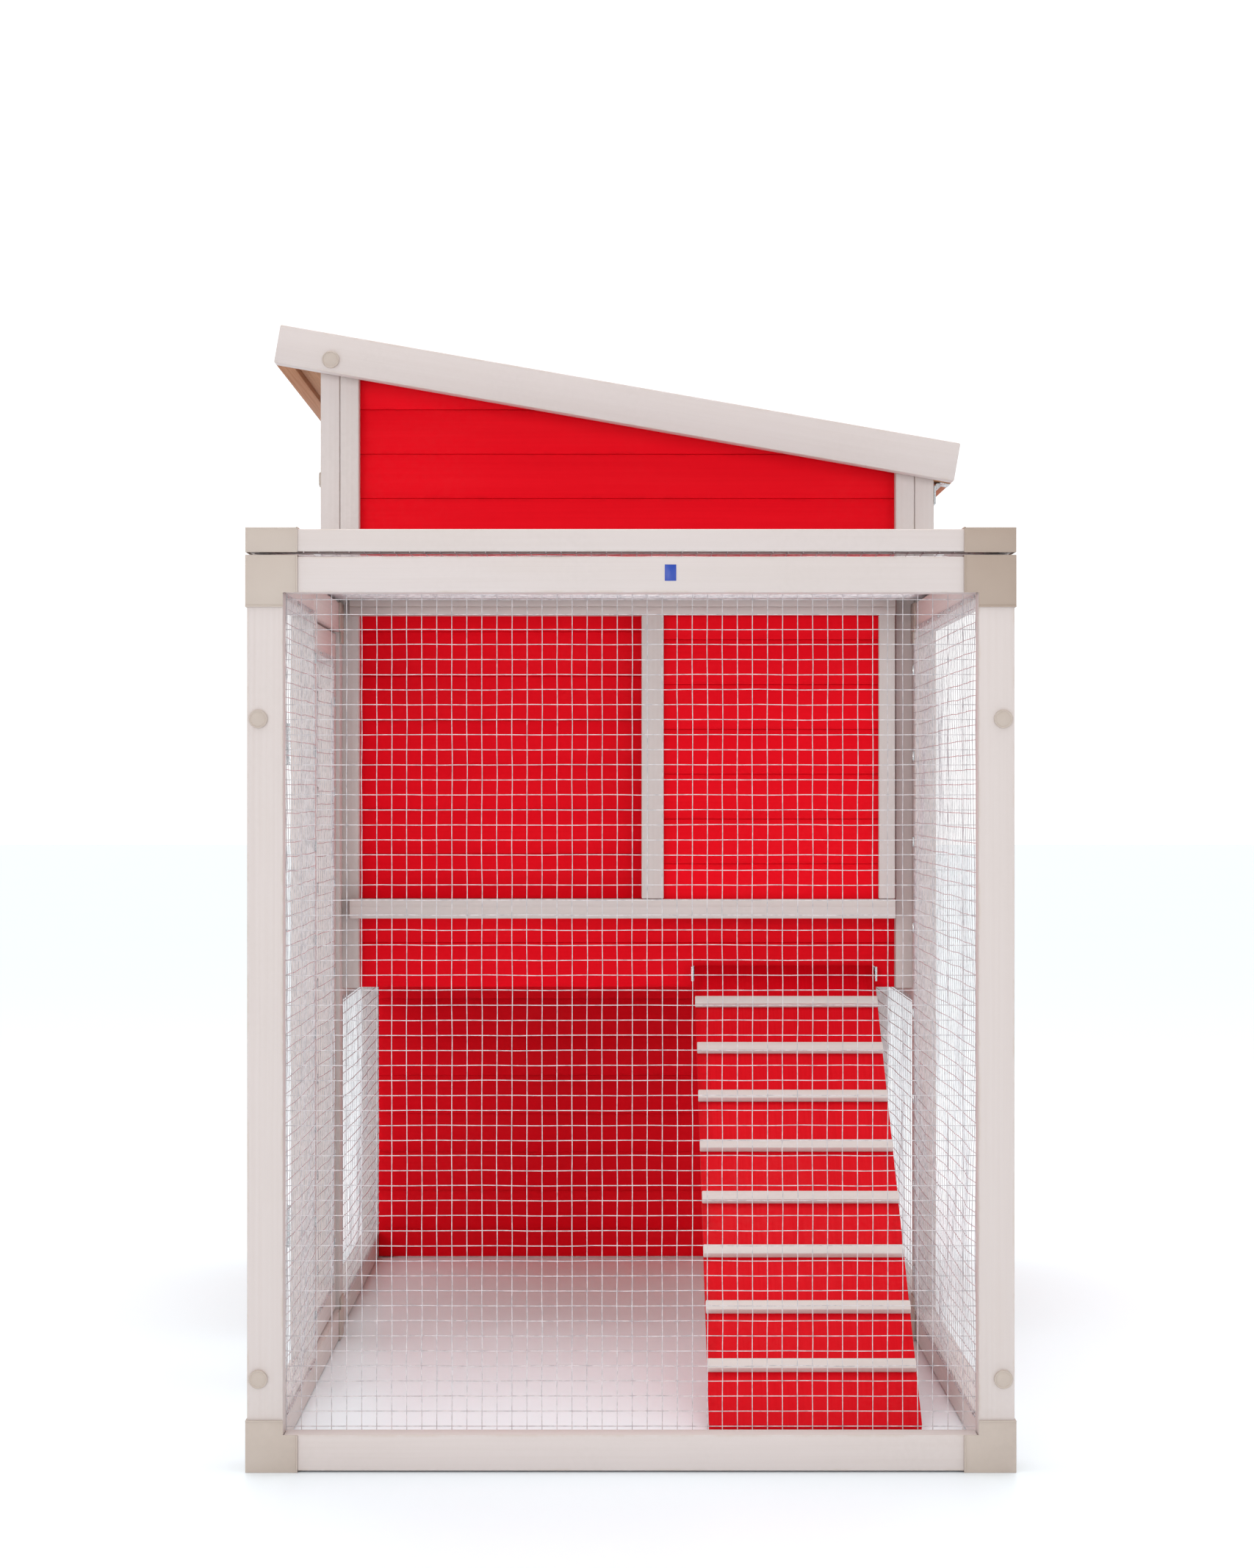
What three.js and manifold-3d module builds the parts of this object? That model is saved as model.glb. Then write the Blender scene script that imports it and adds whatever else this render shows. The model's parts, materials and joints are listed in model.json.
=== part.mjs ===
// Rabbit hutch: a raised, boarded house with a pent roof at one end of a wire mesh run.
// Millimetres, +Z up. X crosses the hutch, from its front (-X, the high eave) to its back (+X).
// Y runs along it, from the run's end panel to the house's far wall. While the pieces are laid
// out, Y starts at the end panel's front face and X at the middle of the hutch; the last lines
// move the whole model so that its origin is under the middle of its bounding box.
import * as THREE from 'three';
import { mergeVertices } from 'three/addons/utils/BufferGeometryUtils.js';
import Module from 'manifold-3d';

const wasm = await Module();
wasm.setup();

// ---------------------------------------------------------------- driving dimensions
// Clearances
const touchGap = 0.3;        // between pieces that touch
const swingGap = 2;          // round a door in its opening
const slideGap = 1;          // round a board in its groove

// Overall sizes
const houseWidth = 640;      // over the legs
const houseDepth = 550;      // near face to far face
const houseRise = 241;       // top of the house's front wall above the run panels
const runLength = 640;       // end panel's front face to the house's near face
const runHeight = 761;       // top of the run's end and side panels
const runInset = 1;          // run's side panels inside the house's legs
const floorHeight = 385;     // top of the house floor

// Timber
const railFace = 30;         // wide side of a frame timber
const runThickness = 22;     // run panels
const lidThickness = 18.6;
const houseThickness = 20;   // legs and rails of the house
const doorThickness = 18;
const floorThickness = 8.7;
const easedEdge = 1.5;
const sheetThickness = 1.2;  // wire mesh, as a plain sheet
const meshLap = 5;           // mesh over its frame timbers

// Boarding
const boardPitch = 46.6;
const boardThickness = 12;
const seamDepth = 2.4;
const wallDrop = 24;         // end wall's boards reach this far below the floor's top
const backRecess = 6;        // back wall's boards inside the legs' outer faces
const stileWidth = 19.7;     // end and far wall stiles
const stileThickness = 18;

// Corner brackets
const bracketLeg = 42;
const bracketSkin = 1;

// Run front panel
const middleStileStart = 340; // from the end panel's front face

// Lid
const lidLift = 4.2;         // lid timbers above the side panels, where brackets and mesh lie
const ledgeWidth = 26.7;     // fixed rail between the lid and the house
const ledgeThickness = 13.5;

// Sliding door in the end wall
const trackHeight = 20;
const trackDepth = 21.7;
const trackLift = 49.5;      // lower track above the floor
const trackFrontGap = 9;     // tracks' ends to the side panels
const trackBackGap = 19;
const grooveDepth = 7.5;
const slideDoorWidth = 263;
const doorPanelThickness = 8;
const doorSetBack = 4.5;     // sliding door in front of the end wall's stiles
const slideStileFront = 23;
const slideStileBack = 17;
const doorSeamRise = 56.3;   // first seam above the lower track's underside
const doorwayLap = 30;       // sliding door past the doorway on each side
const doorwayMargin = 8;     // doorway inside the tracks, above and below

// House front
const sillLift = 49;         // sill above the floor: the tray's opening
const sillHeight = 20;
const topRailDepth = 45;     // front top rail below the roof
const doorBoardThickness = 9.7;
const doorBoardLap = 8;

// Tray
const trayWall = 1.5;
const trayHeight = 42;
const trayBackGap = 7.5;     // to the back wall's boards
const traySideGap = 4;       // to the end walls' boards and the legs

// Ramp
const rampWidth = 188;
const rampSideGap = 39;      // to the run's back panel
const rampThickness = 9;
const rampToeY = 160;
const rampPivotDrop = 9.4;   // pivot below the floor's top
const rampPivotReach = 10.8; // pivot in front of the end wall's boards
const rampEnd = 8;           // board past its pivot
const cleatPitch = 70.8;
const cleatFirst = 67;       // from the toe
const cleatWidth = 12;
const cleatHeight = 6;
const cleatSink = 0.5;       // into the board, to join them
const earThickness = 2;
const earHeight = 15;

// Roof
const roofPitch = THREE.MathUtils.degToRad(9.9);
const eaveFront = 46;        // underside past the front legs
const eaveBack = 18;         // underside past the back legs
const roofNear = 26;         // past the house's near face
const roofFar = 30;          // past its far face
const fasciaDepth = 40;
const fasciaThickness = 20;
const deckThickness = 12;
const deckInset = 2;         // deck top below the fascia's top edge

// Hinges and turn buttons
const leafThickness = 1.9;
const leafWidth = 40;
const leafHeight = 19;
const barrelRadius = 2.6;
const barrelSides = 16;
const pinStandOff = 4.2;     // pin's axis out from the face that carries the hinge
const runHingeInset = 120;   // run door's hinges from its opening's ends
const houseHingeInset = 90;  // house door's hinges from its ends
const lidHingeInset = 122;   // lid's hinges from its ends
const buttonLength = 48;
const buttonWidth = 14;
const buttonThickness = 7;
const buttonGap = 0.5;
const buttonSteps = 10;
const cutterMargin = 1;      // a cutter past the faces it cuts

// ---------------------------------------------------------------- places worked out from them
const houseX = houseWidth / 2;
const runX = houseX - runInset;
const houseInnerX = houseX - houseThickness;
const runInnerX = runX - runThickness;
const footZ = bracketSkin + touchGap;
const houseNear = runLength;
const houseFar = runLength + houseDepth;
const legNearInner = houseNear + railFace;
const legFarInner = houseFar - railFace;
const sideStartY = runThickness + touchGap;
const sideEndY = runLength - touchGap;
const lidBottom = runHeight + lidLift;
const lidTop = lidBottom + lidThickness;
const houseFrontHeight = runHeight + houseRise;
const ledgeStartY = sideEndY - ledgeWidth;
const ledgeBottom = lidTop - ledgeThickness;
const trackLowZ = floorHeight + trackLift;
const trackHighZ = ledgeBottom - touchGap;
const trackSpan = trackHighZ - trackLowZ - trackHeight * 2; // clear height between the tracks
const trackFrontEnd = -runInnerX + trackFrontGap;
const trackBackEnd = runInnerX - trackBackGap;
const slideDoorEnd = trackBackEnd - touchGap;
const slideDoorStart = slideDoorEnd - slideDoorWidth;
const lidEndY = ledgeStartY - swingGap;
const endBoardsY = houseNear + stileThickness + touchGap;
const wallBottom = floorHeight - wallDrop;
const lowRailTop = floorHeight - floorThickness - touchGap;
const sillBottom = floorHeight + sillLift;
const backBoardsIn = houseX - backRecess - boardThickness;
const roofUnderAt = (x) => houseFrontHeight - Math.tan(roofPitch) * (x + houseX);

// ---------------------------------------------------------------- finishes
const finish = (color, roughness, metalness = 0) => ({ color, roughness, metalness });
const WHITE = finish(0xdad2cd, 0.6);
const RED = finish(0xd8101c, 0.55);
const BARE = finish(0xa8704f, 0.75);
const WIRE = finish(0xb4b6b8, 0.4, 0.6);
const PLASTIC = finish(0xc6baa8, 0.5);
const STEEL = finish(0x9a9c9e, 0.35, 0.9);

const hutch = new THREE.Group();

// ---------------------------------------------------------------- shape helpers
// For each axis, the directions of an outline's two coordinates and of its extrusion.
const AXES = {
  x: [[0, 1, 0], [0, 0, 1], [1, 0, 0]],
  y: [[0, 0, 1], [1, 0, 0], [0, 1, 0]],
  z: [[1, 0, 0], [0, 1, 0], [0, 0, 1]],
};
const INDEX = { x: 0, y: 1, z: 2 };

// Extrudes an outline along an axis from one place to another. The outline's two coordinates
// are Y,Z for axis x, Z,X for axis y and X,Y for axis z.
function extrude(outline, axis, from, to) {
  const shape = new THREE.Shape(outline.map(([u, v]) => new THREE.Vector2(u, v)));
  const geometry = new THREE.ExtrudeGeometry(shape, { depth: to - from, bevelEnabled: false });
  geometry.translate(0, 0, from);
  const [u, v, w] = AXES[axis].map((a) => new THREE.Vector3(...a));
  return geometry.applyMatrix4(new THREE.Matrix4().makeBasis(u, v, w));
}

const rectangle = (u0, v0, u1, v1) => [[u0, v0], [u1, v0], [u1, v1], [u0, v1]];

// A plain box between two corners.
function box(low, high) {
  return extrude(rectangle(low[0], low[1], high[0], high[1]), 'z', low[2], high[2]);
}

// A straight timber between two corners, its four long edges eased.
function timber(low, high, along) {
  const w = INDEX[along];
  const [u, v] = [(w + 1) % 3, (w + 2) % 3];
  const e = easedEdge;
  const [u0, v0, u1, v1] = [low[u], low[v], high[u], high[v]];
  const outline = [
    [u0 + e, v0], [u1 - e, v0], [u1, v0 + e], [u1, v1 - e],
    [u1 - e, v1], [u0 + e, v1], [u0, v1 - e], [u0, v0 + e],
  ];
  return extrude(outline, along, low[w], high[w]);
}

// A flat frame in the Y,Z plane between two X faces, with one opening or more.
function sideFrame(x0, x1, outer, openings) {
  const slab = extrude(rectangle(...outer), 'x', x0, x1);
  return cut(slab, ...openings.map(
    (o) => extrude(rectangle(...o), 'x', x0 - cutterMargin, x1 + cutterMargin),
  ));
}

function solidOf(geometry) {
  const bare = geometry.clone();
  bare.deleteAttribute('normal');
  bare.deleteAttribute('uv');
  const merged = mergeVertices(bare, 1e-4);
  return new wasm.Manifold(new wasm.Mesh({
    numProp: 3,
    vertProperties: Float32Array.from(merged.attributes.position.array),
    triVerts: Uint32Array.from(merged.index.array),
  }));
}

function geometryOf(solid) {
  const mesh = solid.getMesh();
  const geometry = new THREE.BufferGeometry();
  geometry.setAttribute('position', new THREE.BufferAttribute(mesh.vertProperties, 3));
  geometry.setIndex(new THREE.BufferAttribute(mesh.triVerts, 1));
  return geometry;
}

const mirrored = (piece, normal) => geometryOf(solidOf(piece).mirror(normal));
const joined = (...pieces) => geometryOf(pieces.map(solidOf).reduce((a, b) => a.add(b)));
const cut = (piece, ...cutters) =>
  geometryOf(cutters.map(solidOf).reduce((a, b) => a.subtract(b), solidOf(piece)));

// Everything above the roof's underside, to cut a wall or a leg to the slope.
function aboveRoof(from, to) {
  const reach = houseWidth;
  const tall = houseFrontHeight;
  const line = (x) => roofUnderAt(x) - touchGap;
  return extrude(
    [
      [line(-reach), -reach], [line(-reach) + tall, -reach],
      [line(reach) + tall, reach], [line(reach), reach],
    ],
    'y', from, to,
  );
}
const underRoof = (piece) => cut(piece, aboveRoof(houseNear - roofNear, houseFar + roofFar));

// The outline of tongue and groove boards seen end on: depth along u from the seamed face to
// the plain face, height along v. The seams are small V grooves one board pitch apart.
function boardOutline(seamFace, plainFace, bottom, top, datum) {
  const inward = Math.sign(plainFace - seamFace);
  const outline = [[plainFace, top], [plainFace, bottom], [seamFace, bottom]];
  let seam = datum - Math.floor((datum - bottom) / boardPitch) * boardPitch;
  for (; seam < top - seamDepth; seam += boardPitch) {
    if (seam < bottom + seamDepth) continue;
    outline.push([seamFace, seam - seamDepth], [seamFace + inward * seamDepth, seam]);
    outline.push([seamFace, seam + seamDepth]);
  }
  outline.push([seamFace, top]);
  return outline;
}

// Boards that run along X, with their seams on the face at Y = seamFace.
function endBoards(seamFace, plainFace, halfWidth, bottom) {
  const outline = boardOutline(seamFace, plainFace, bottom, houseFrontHeight, wallBottom);
  return underRoof(extrude(outline, 'x', -halfWidth, halfWidth));
}

function add(name, geometry, look, parent = hutch) {
  const mesh = new THREE.Mesh(geometry, new THREE.MeshStandardMaterial(look));
  mesh.name = name;
  parent.add(mesh);
  return mesh;
}

// A hinge's fixed leaf with its barrel. The leaf lies on a face that looks along +X and the
// barrel runs along Y, level with the leaf's upper edge and out from the face.
function hingeLeaf(width, height) {
  const leaf = box([0, -width / 2, -height], [leafThickness, width / 2, 0]);
  const web = box([0, -width / 2, -leafThickness], [pinStandOff, width / 2, 0]);
  const barrel = new THREE.CylinderGeometry(barrelRadius, barrelRadius, width, barrelSides);
  barrel.translate(pinStandOff, 0, 0);
  return joined(leaf, web, barrel);
}

function addHinge(name, width, height, position, turn) {
  const hinge = add(name, hingeLeaf(width, height), STEEL);
  hinge.position.set(...position);
  hinge.rotation.set(...turn);
}

// ---------------------------------------------------------------- run: end panel
function buildEndPanel() {
  const railIn = runX - railFace - touchGap;
  for (const [side, s] of [['front', -1], ['back', 1]]) {
    const x = [s * runX, s * (runX - railFace)].sort((a, b) => a - b);
    add(`run_end_post_${side}`, timber([x[0], 0, footZ], [x[1], runThickness, runHeight], 'z'), WHITE);
  }
  const top = [[-railIn, 0, runHeight - railFace], [railIn, runThickness, runHeight]];
  const bottom = [[-railIn, 0, footZ], [railIn, runThickness, footZ + railFace]];
  add('run_end_rail_top', timber(...top, 'x'), WHITE);
  add('run_end_rail_bottom', timber(...bottom, 'x'), WHITE);
  const half = runInnerX - touchGap; // as wide as the space between the side panels
  const meshFace = runThickness + touchGap;
  add('run_end_mesh', box(
    [-half, meshFace, footZ + railFace - meshLap],
    [half, meshFace + sheetThickness, runHeight - railFace + meshLap],
  ), WIRE);
}

// A plastic corner: an L-shaped plate on the panel's face, with a lip over its side and a lip
// over its end. Drawn for the corner at +X, +Z, with the timber's corner at the origin.
function cornerBracket() {
  const out = touchGap + bracketSkin;
  const face = extrude(
    [[out, -bracketLeg], [out, out], [-bracketLeg, out], [-bracketLeg, -railFace],
      [-railFace, -railFace], [-railFace, -bracketLeg]].map(([x, z]) => [z, x]),
    'y', -out, -touchGap,
  );
  const sideLip = box([touchGap, -out, -bracketLeg], [out, runThickness, out]);
  const endLip = box([-bracketLeg, -out, touchGap], [out, runThickness, out]);
  return joined(face, sideLip, endLip);
}

function buildEndBrackets() {
  for (const [end, z, up] of [['top', runHeight, 1], ['bottom', footZ, -1]]) {
    for (const [side, s] of [['front', -1], ['back', 1]]) {
      const across = s < 0 ? mirrored(cornerBracket(), [1, 0, 0]) : cornerBracket();
      const corner = up < 0 ? mirrored(across, [0, 0, 1]) : across;
      add(`run_end_bracket_${end}_${side}`, corner, PLASTIC).position.set(s * runX, 0, z);
    }
  }
}

// ---------------------------------------------------------------- run: side panels
function buildRunSides() {
  const outer = [sideStartY, footZ, sideEndY, runHeight];
  const low = footZ + railFace;
  const high = runHeight - railFace;
  const nearOpening = [sideStartY + railFace, low, middleStileStart, high];
  const doorOpening = [middleStileStart + railFace, low, sideEndY - railFace, high];
  add('run_front_frame', sideFrame(-runX, -runInnerX, outer, [nearOpening, doorOpening]), WHITE);
  const wide = [sideStartY + railFace, low, sideEndY - railFace, high];
  add('run_back_frame', sideFrame(runInnerX, runX, outer, [wide]), WHITE);

  const meshIn = runInnerX - touchGap;
  const sheet = (s, [y0, z0, y1, z1]) => {
    const x = [s * meshIn, s * (meshIn - sheetThickness)].sort((a, b) => a - b);
    return box([x[0], y0 - meshLap, z0 - meshLap], [x[1], y1 + meshLap, z1 + meshLap]);
  };
  add('run_front_mesh', sheet(-1, nearOpening), WIRE);
  add('run_back_mesh', sheet(1, wide), WIRE);
  buildRunDoor(doorOpening);
}

function buildRunDoor([y0, z0, y1, z1]) {
  const g = swingGap;
  const outer = [y0 + g, z0 + g, y1 - g, z1 - g];
  const inner = [outer[0] + railFace, outer[1] + railFace, outer[2] - railFace, outer[3] - railFace];
  const back = -runX + doorThickness;
  add('run_door_frame', sideFrame(-runX, back, outer, [inner]), WHITE);
  add('run_door_mesh', box(
    [back + touchGap, inner[0] - meshLap, inner[1] - meshLap],
    [back + touchGap + sheetThickness, inner[2] + meshLap, inner[3] + meshLap],
  ), WIRE);
  const pinY = y0 + g / 2;
  const turn = [-Math.PI / 2, 0, Math.PI];
  for (const [place, z] of [['low', z0 + runHingeInset], ['high', z1 - runHingeInset]]) {
    addHinge(`run_door_hinge_${place}`, leafWidth, leafHeight, [-runX - touchGap, pinY, z], turn);
  }
  addButton('run_door_button', -runX, y1 + railFace / 2, (z0 + z1) / 2);
}

// A turn button that hangs from its pivot, drawn with the pivot at the origin.
function addButton(name, faceX, y, z) {
  const r = buttonWidth / 2;
  const shape = new THREE.Shape();
  shape.absarc(0, 0, r, 0, Math.PI, false);
  shape.absarc(0, -(buttonLength - buttonWidth), r, Math.PI, 2 * Math.PI, false);
  const geometry = new THREE.ExtrudeGeometry(shape, {
    depth: buttonThickness, bevelEnabled: false, curveSegments: buttonSteps,
  });
  geometry.applyMatrix4(new THREE.Matrix4().makeBasis(
    new THREE.Vector3(0, 1, 0), new THREE.Vector3(0, 0, 1), new THREE.Vector3(1, 0, 0),
  ));
  add(name, geometry, STEEL).position.set(faceX - buttonGap - buttonThickness, y, z);
}

// ---------------------------------------------------------------- run: lid and ledge
function buildLid() {
  const lid = new THREE.Group();
  lid.position.set(0, 0, lidBottom);
  hutch.add(lid);
  const opening = box(
    [-runX + railFace, railFace, -cutterMargin],
    [runX - railFace, lidEndY - railFace, lidThickness + cutterMargin],
  );
  add('lid_frame', cut(box([-runX, 0, 0], [runX, lidEndY, lidThickness]), opening), WHITE, lid);
  add('lid_mesh', box(
    [-runX + railFace - meshLap, railFace - meshLap, -touchGap - sheetThickness],
    [runX - railFace + meshLap, lidEndY - railFace + meshLap, -touchGap],
  ), WIRE, lid);
  const pinZ = runHeight + lidLift / 2;
  for (const [place, y] of [['near', lidHingeInset], ['far', lidEndY - lidHingeInset]]) {
    addHinge(`lid_hinge_${place}`, leafWidth, leafHeight, [runX + touchGap, y, pinZ], [0, 0, 0]);
  }
  add('run_top_ledge', timber(
    [-runX, ledgeStartY, ledgeBottom], [runX, sideEndY, lidTop], 'x',
  ), WHITE);
}

// ---------------------------------------------------------------- house: legs and rails
function buildHouseFrame() {
  for (const [side, s] of [['front', -1], ['back', 1]]) {
    const x = [s * houseX, s * houseInnerX].sort((a, b) => a - b);
    const ends = [['near', houseNear, legNearInner], ['far', legFarInner, houseFar]];
    for (const [end, y0, y1] of ends) {
      const leg = timber([x[0], y0, 0], [x[1], y1, houseFrontHeight + railFace], 'z');
      add(`house_leg_${side}_${end}`, underRoof(leg), WHITE);
    }
    const rail = (z0, z1) => timber(
      [x[0], legNearInner + touchGap, z0], [x[1], legFarInner - touchGap, z1], 'y',
    );
    add(`house_${side}_rail_low`, rail(lowRailTop - railFace, lowRailTop), WHITE);
    add(`under_${side}_rail`, rail(footZ, footZ + railFace), WHITE);
    const inner = houseInnerX - touchGap;
    const mx = [s * inner, s * (inner - sheetThickness)].sort((a, b) => a - b);
    add(`under_${side}_mesh`, box(
      [mx[0], legNearInner - meshLap, footZ + railFace - meshLap],
      [mx[1], legFarInner - touchGap, lowRailTop - railFace + meshLap],
    ), WIRE);
    if (side === 'front') {
      add('house_front_sill', rail(sillBottom, sillBottom + sillHeight), WHITE);
      const top = rail(houseFrontHeight - topRailDepth, houseFrontHeight + railFace);
      add('house_front_rail_top', underRoof(top), WHITE);
    }
  }
  const bearing = houseThickness / 2;
  add('house_floor', box(
    [-houseInnerX - bearing, endBoardsY + boardThickness + touchGap, lowRailTop + touchGap],
    [houseInnerX + bearing, legFarInner - touchGap, floorHeight],
  ), BARE);
}

// ---------------------------------------------------------------- house: walls
function buildWalls() {
  const half = houseInnerX - touchGap;
  const plain = endBoardsY + boardThickness;
  const doorway = box(
    [slideDoorStart + doorwayLap, endBoardsY - swingGap, trackLowZ + trackHeight + doorwayMargin],
    [slideDoorEnd - doorwayLap, plain + swingGap, trackLowZ + trackHeight + trackSpan - doorwayMargin],
  );
  add('end_wall_boards', cut(endBoards(endBoardsY, plain, half, wallBottom), doorway), RED);
  const farSeam = legFarInner + boardThickness;
  add('far_wall_boards', endBoards(farSeam, legFarInner, half, footZ), RED);
  for (const [side, s] of [['front', -1], ['back', 1]]) {
    const x = [s * half, s * (half - stileWidth)].sort((a, b) => a - b);
    const stile = (y0, y1, z0) => underRoof(
      timber([x[0], y0, z0], [x[1], y1, houseFrontHeight + railFace], 'z'),
    );
    add(`end_wall_stile_${side}`, stile(houseNear, endBoardsY - touchGap, wallBottom), WHITE);
    add(`far_wall_stile_${side}`, stile(farSeam + touchGap, houseFar, footZ), WHITE);
  }
  // The back wall's boards run along Y, a little inside the legs' outer faces.
  const outline = boardOutline(
    houseX - backRecess, backBoardsIn, floorHeight + touchGap, houseFrontHeight, wallBottom,
  ).map(([x, z]) => [z, x]);
  add('house_back_boards', underRoof(extrude(
    outline.reverse(), 'y', legNearInner + touchGap, legFarInner - touchGap,
  )), RED);
}

// ---------------------------------------------------------------- house: sliding door
function buildSlidingDoor() {
  const back = houseNear - touchGap;
  const front = back - trackDepth;
  const panelBack = back - doorSetBack;
  const panelFront = panelBack - doorPanelThickness;
  const grooveBack = panelBack + slideGap;
  const grooveFront = panelFront - slideGap;
  const lowTop = trackLowZ + trackHeight;
  const highBottom = lowTop + trackSpan;
  const grooveFloor = lowTop - grooveDepth;
  const low = [
    [front, trackLowZ], [back, trackLowZ], [back, lowTop], [grooveBack, lowTop],
    [grooveBack, grooveFloor], [grooveFront, grooveFloor], [grooveFront, lowTop], [front, lowTop],
  ];
  const middle = lowTop + highBottom;
  const high = low.map(([y, z]) => [y, middle - z]).reverse();
  add('door_track_bottom', extrude(low, 'x', trackFrontEnd, trackBackEnd), WHITE);
  add('door_track_top', extrude(high, 'x', trackFrontEnd, trackBackEnd), WHITE);

  const panelLow = grooveFloor + slideGap / 2;
  const panelHigh = highBottom + grooveDepth - slideGap / 2;
  const seam = trackLowZ + doorSeamRise;
  const outline = boardOutline(panelFront, panelBack, panelLow, panelHigh, seam);
  add('sliding_door_panel', extrude(outline, 'x', slideDoorStart, slideDoorEnd), RED);
  const stile = (x0, x1) => timber(
    [x0, front + slideGap, lowTop + slideGap / 2],
    [x1, panelFront - touchGap, highBottom - slideGap / 2], 'z',
  );
  add('sliding_door_stile_front', stile(slideDoorStart, slideDoorStart + slideStileFront), WHITE);
  add('sliding_door_stile_back', stile(slideDoorEnd - slideStileBack, slideDoorEnd), WHITE);
}

// ---------------------------------------------------------------- house: front door and tray
function buildHouseDoor() {
  const z0 = sillBottom + sillHeight + swingGap;
  const z1 = houseFrontHeight - topRailDepth - swingGap;
  const outer = [legNearInner + swingGap, z0, legFarInner - swingGap, z1];
  const inner = [outer[0] + railFace, outer[1] + railFace, outer[2] - railFace, outer[3] - railFace];
  const back = -houseX + doorThickness;
  add('house_door_frame', sideFrame(-houseX, back, outer, [inner]), WHITE);
  const seamFace = back + touchGap;
  const plainFace = seamFace + doorBoardThickness;
  const outline = boardOutline(
    seamFace, plainFace, inner[1] - doorBoardLap, inner[3] + doorBoardLap, wallBottom,
  ).map(([x, z]) => [z, x]);
  add('house_door_boards', extrude(
    outline.reverse(), 'y', inner[0] - doorBoardLap, inner[2] + doorBoardLap,
  ), RED);
  const pinY = legFarInner - swingGap / 2;
  const turn = [Math.PI / 2, 0, Math.PI];
  for (const [place, z] of [['low', z0 + houseHingeInset], ['high', z1 - houseHingeInset]]) {
    addHinge(`house_door_hinge_${place}`, leafWidth, leafHeight, [-houseX - touchGap, pinY, z], turn);
  }
  addButton('house_door_button', -houseX, houseNear + railFace / 2, (z0 + z1) / 2);
}

function buildTray() {
  const y0 = Math.max(legNearInner, endBoardsY + boardThickness) + traySideGap;
  const y1 = legFarInner - traySideGap;
  const bottom = floorHeight + slideGap / 2;
  const boardBack = -houseX + doorThickness;
  const panBack = backBoardsIn - trayBackGap;
  const pan = box([boardBack - trayWall, y0, bottom], [panBack, y1, bottom + trayHeight]);
  const hollow = box(
    [boardBack + trayWall, y0 + trayWall, bottom + trayWall],
    [panBack - trayWall, y1 - trayWall, bottom + trayHeight + cutterMargin],
  );
  const frontBoard = box(
    [-houseX, legNearInner + swingGap, floorHeight + slideGap],
    [boardBack, legFarInner - swingGap, sillBottom - swingGap],
  );
  add('tray', joined(cut(pan, hollow), frontBoard), RED);
}

// ---------------------------------------------------------------- ramp
function buildRamp() {
  const pivotY = endBoardsY - rampPivotReach;
  const pivotZ = floorHeight - rampPivotDrop;
  const half = rampThickness / 2;
  const reach = Math.hypot(pivotY - rampToeY, pivotZ);
  const angle = Math.atan2(pivotZ, pivotY - rampToeY) - Math.asin(half / reach);
  const toToe = Math.sqrt(reach * reach - half * half);
  const side = rampWidth / 2;
  const centreX = runInnerX - rampSideGap - side;
  const cleatCount = Math.floor((toToe - cleatFirst) / cleatPitch) + 1;

  const ramp = new THREE.Group();
  ramp.position.set(centreX, pivotY, pivotZ);
  ramp.rotation.x = angle;
  hutch.add(ramp);
  const pieces = [timber([-side, -toToe, -half], [side, rampEnd, half], 'x')];
  for (let i = 0; i < cleatCount; i += 1) {
    const middle = -toToe + cleatFirst + i * cleatPitch;
    pieces.push(box(
      [-side, middle - cleatWidth / 2, half - cleatSink],
      [side, middle + cleatWidth / 2, half + cleatHeight],
    ));
  }
  add('ramp', joined(...pieces), RED, ramp);

  // One folded steel bracket behind the ramp's top end, with an ear at each side of it.
  const earIn = side + slideGap;
  const earOut = earIn + earThickness;
  const plateBack = endBoardsY - touchGap;
  const [low, high] = [pivotZ - earHeight / 2, pivotZ + earHeight / 2];
  const plate = box([-earOut, plateBack - earThickness, low], [earOut, plateBack, high]);
  const ears = [-1, 1].map((s) => {
    const x = [s * earIn, s * earOut].sort((a, b) => a - b);
    return box([x[0], pivotY - half, low], [x[1], plateBack, high]);
  });
  const clear = rampEnd + slideGap;
  const relief = box([-earIn, pivotY - clear, 0], [earIn, pivotY + clear, houseFrontHeight]);
  const bracket = add('ramp_bracket', cut(joined(plate, ...ears), relief), STEEL);
  bracket.position.x = centreX;
}

// ---------------------------------------------------------------- roof
function buildRoof() {
  const frontX = -houseX - eaveFront;
  const backX = houseX + eaveBack;
  const slope = (backX - frontX) / Math.cos(roofPitch);
  const y0 = houseNear - roofNear;
  const y1 = houseFar + roofFar;
  const roof = new THREE.Group();
  roof.position.set(frontX, 0, roofUnderAt(frontX));
  roof.rotation.y = roofPitch;
  hutch.add(roof);
  const t = fasciaThickness;
  add('roof_frame', cut(
    box([0, y0, 0], [slope, y1, fasciaDepth]),
    box([t, y0 + t, -cutterMargin], [slope - t, y1 - t, fasciaDepth + cutterMargin]),
  ), WHITE, roof);
  const deckTop = fasciaDepth - deckInset;
  add('roof_deck', box(
    [t + touchGap, y0 + t + touchGap, deckTop - deckThickness],
    [slope - t - touchGap, y1 - t - touchGap, deckTop],
  ), BARE, roof);

  const pinX = houseX + touchGap + pinStandOff;
  const pinZ = roofUnderAt(pinX) - pinStandOff;
  const leaf = railFace - swingGap;
  for (const [end, y] of [['near', houseNear + railFace / 2], ['far', houseFar - railFace / 2]]) {
    addHinge(`roof_hinge_${end}`, leaf, leafHeight, [houseX + touchGap, y, pinZ], [0, 0, 0]);
  }
}

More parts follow.
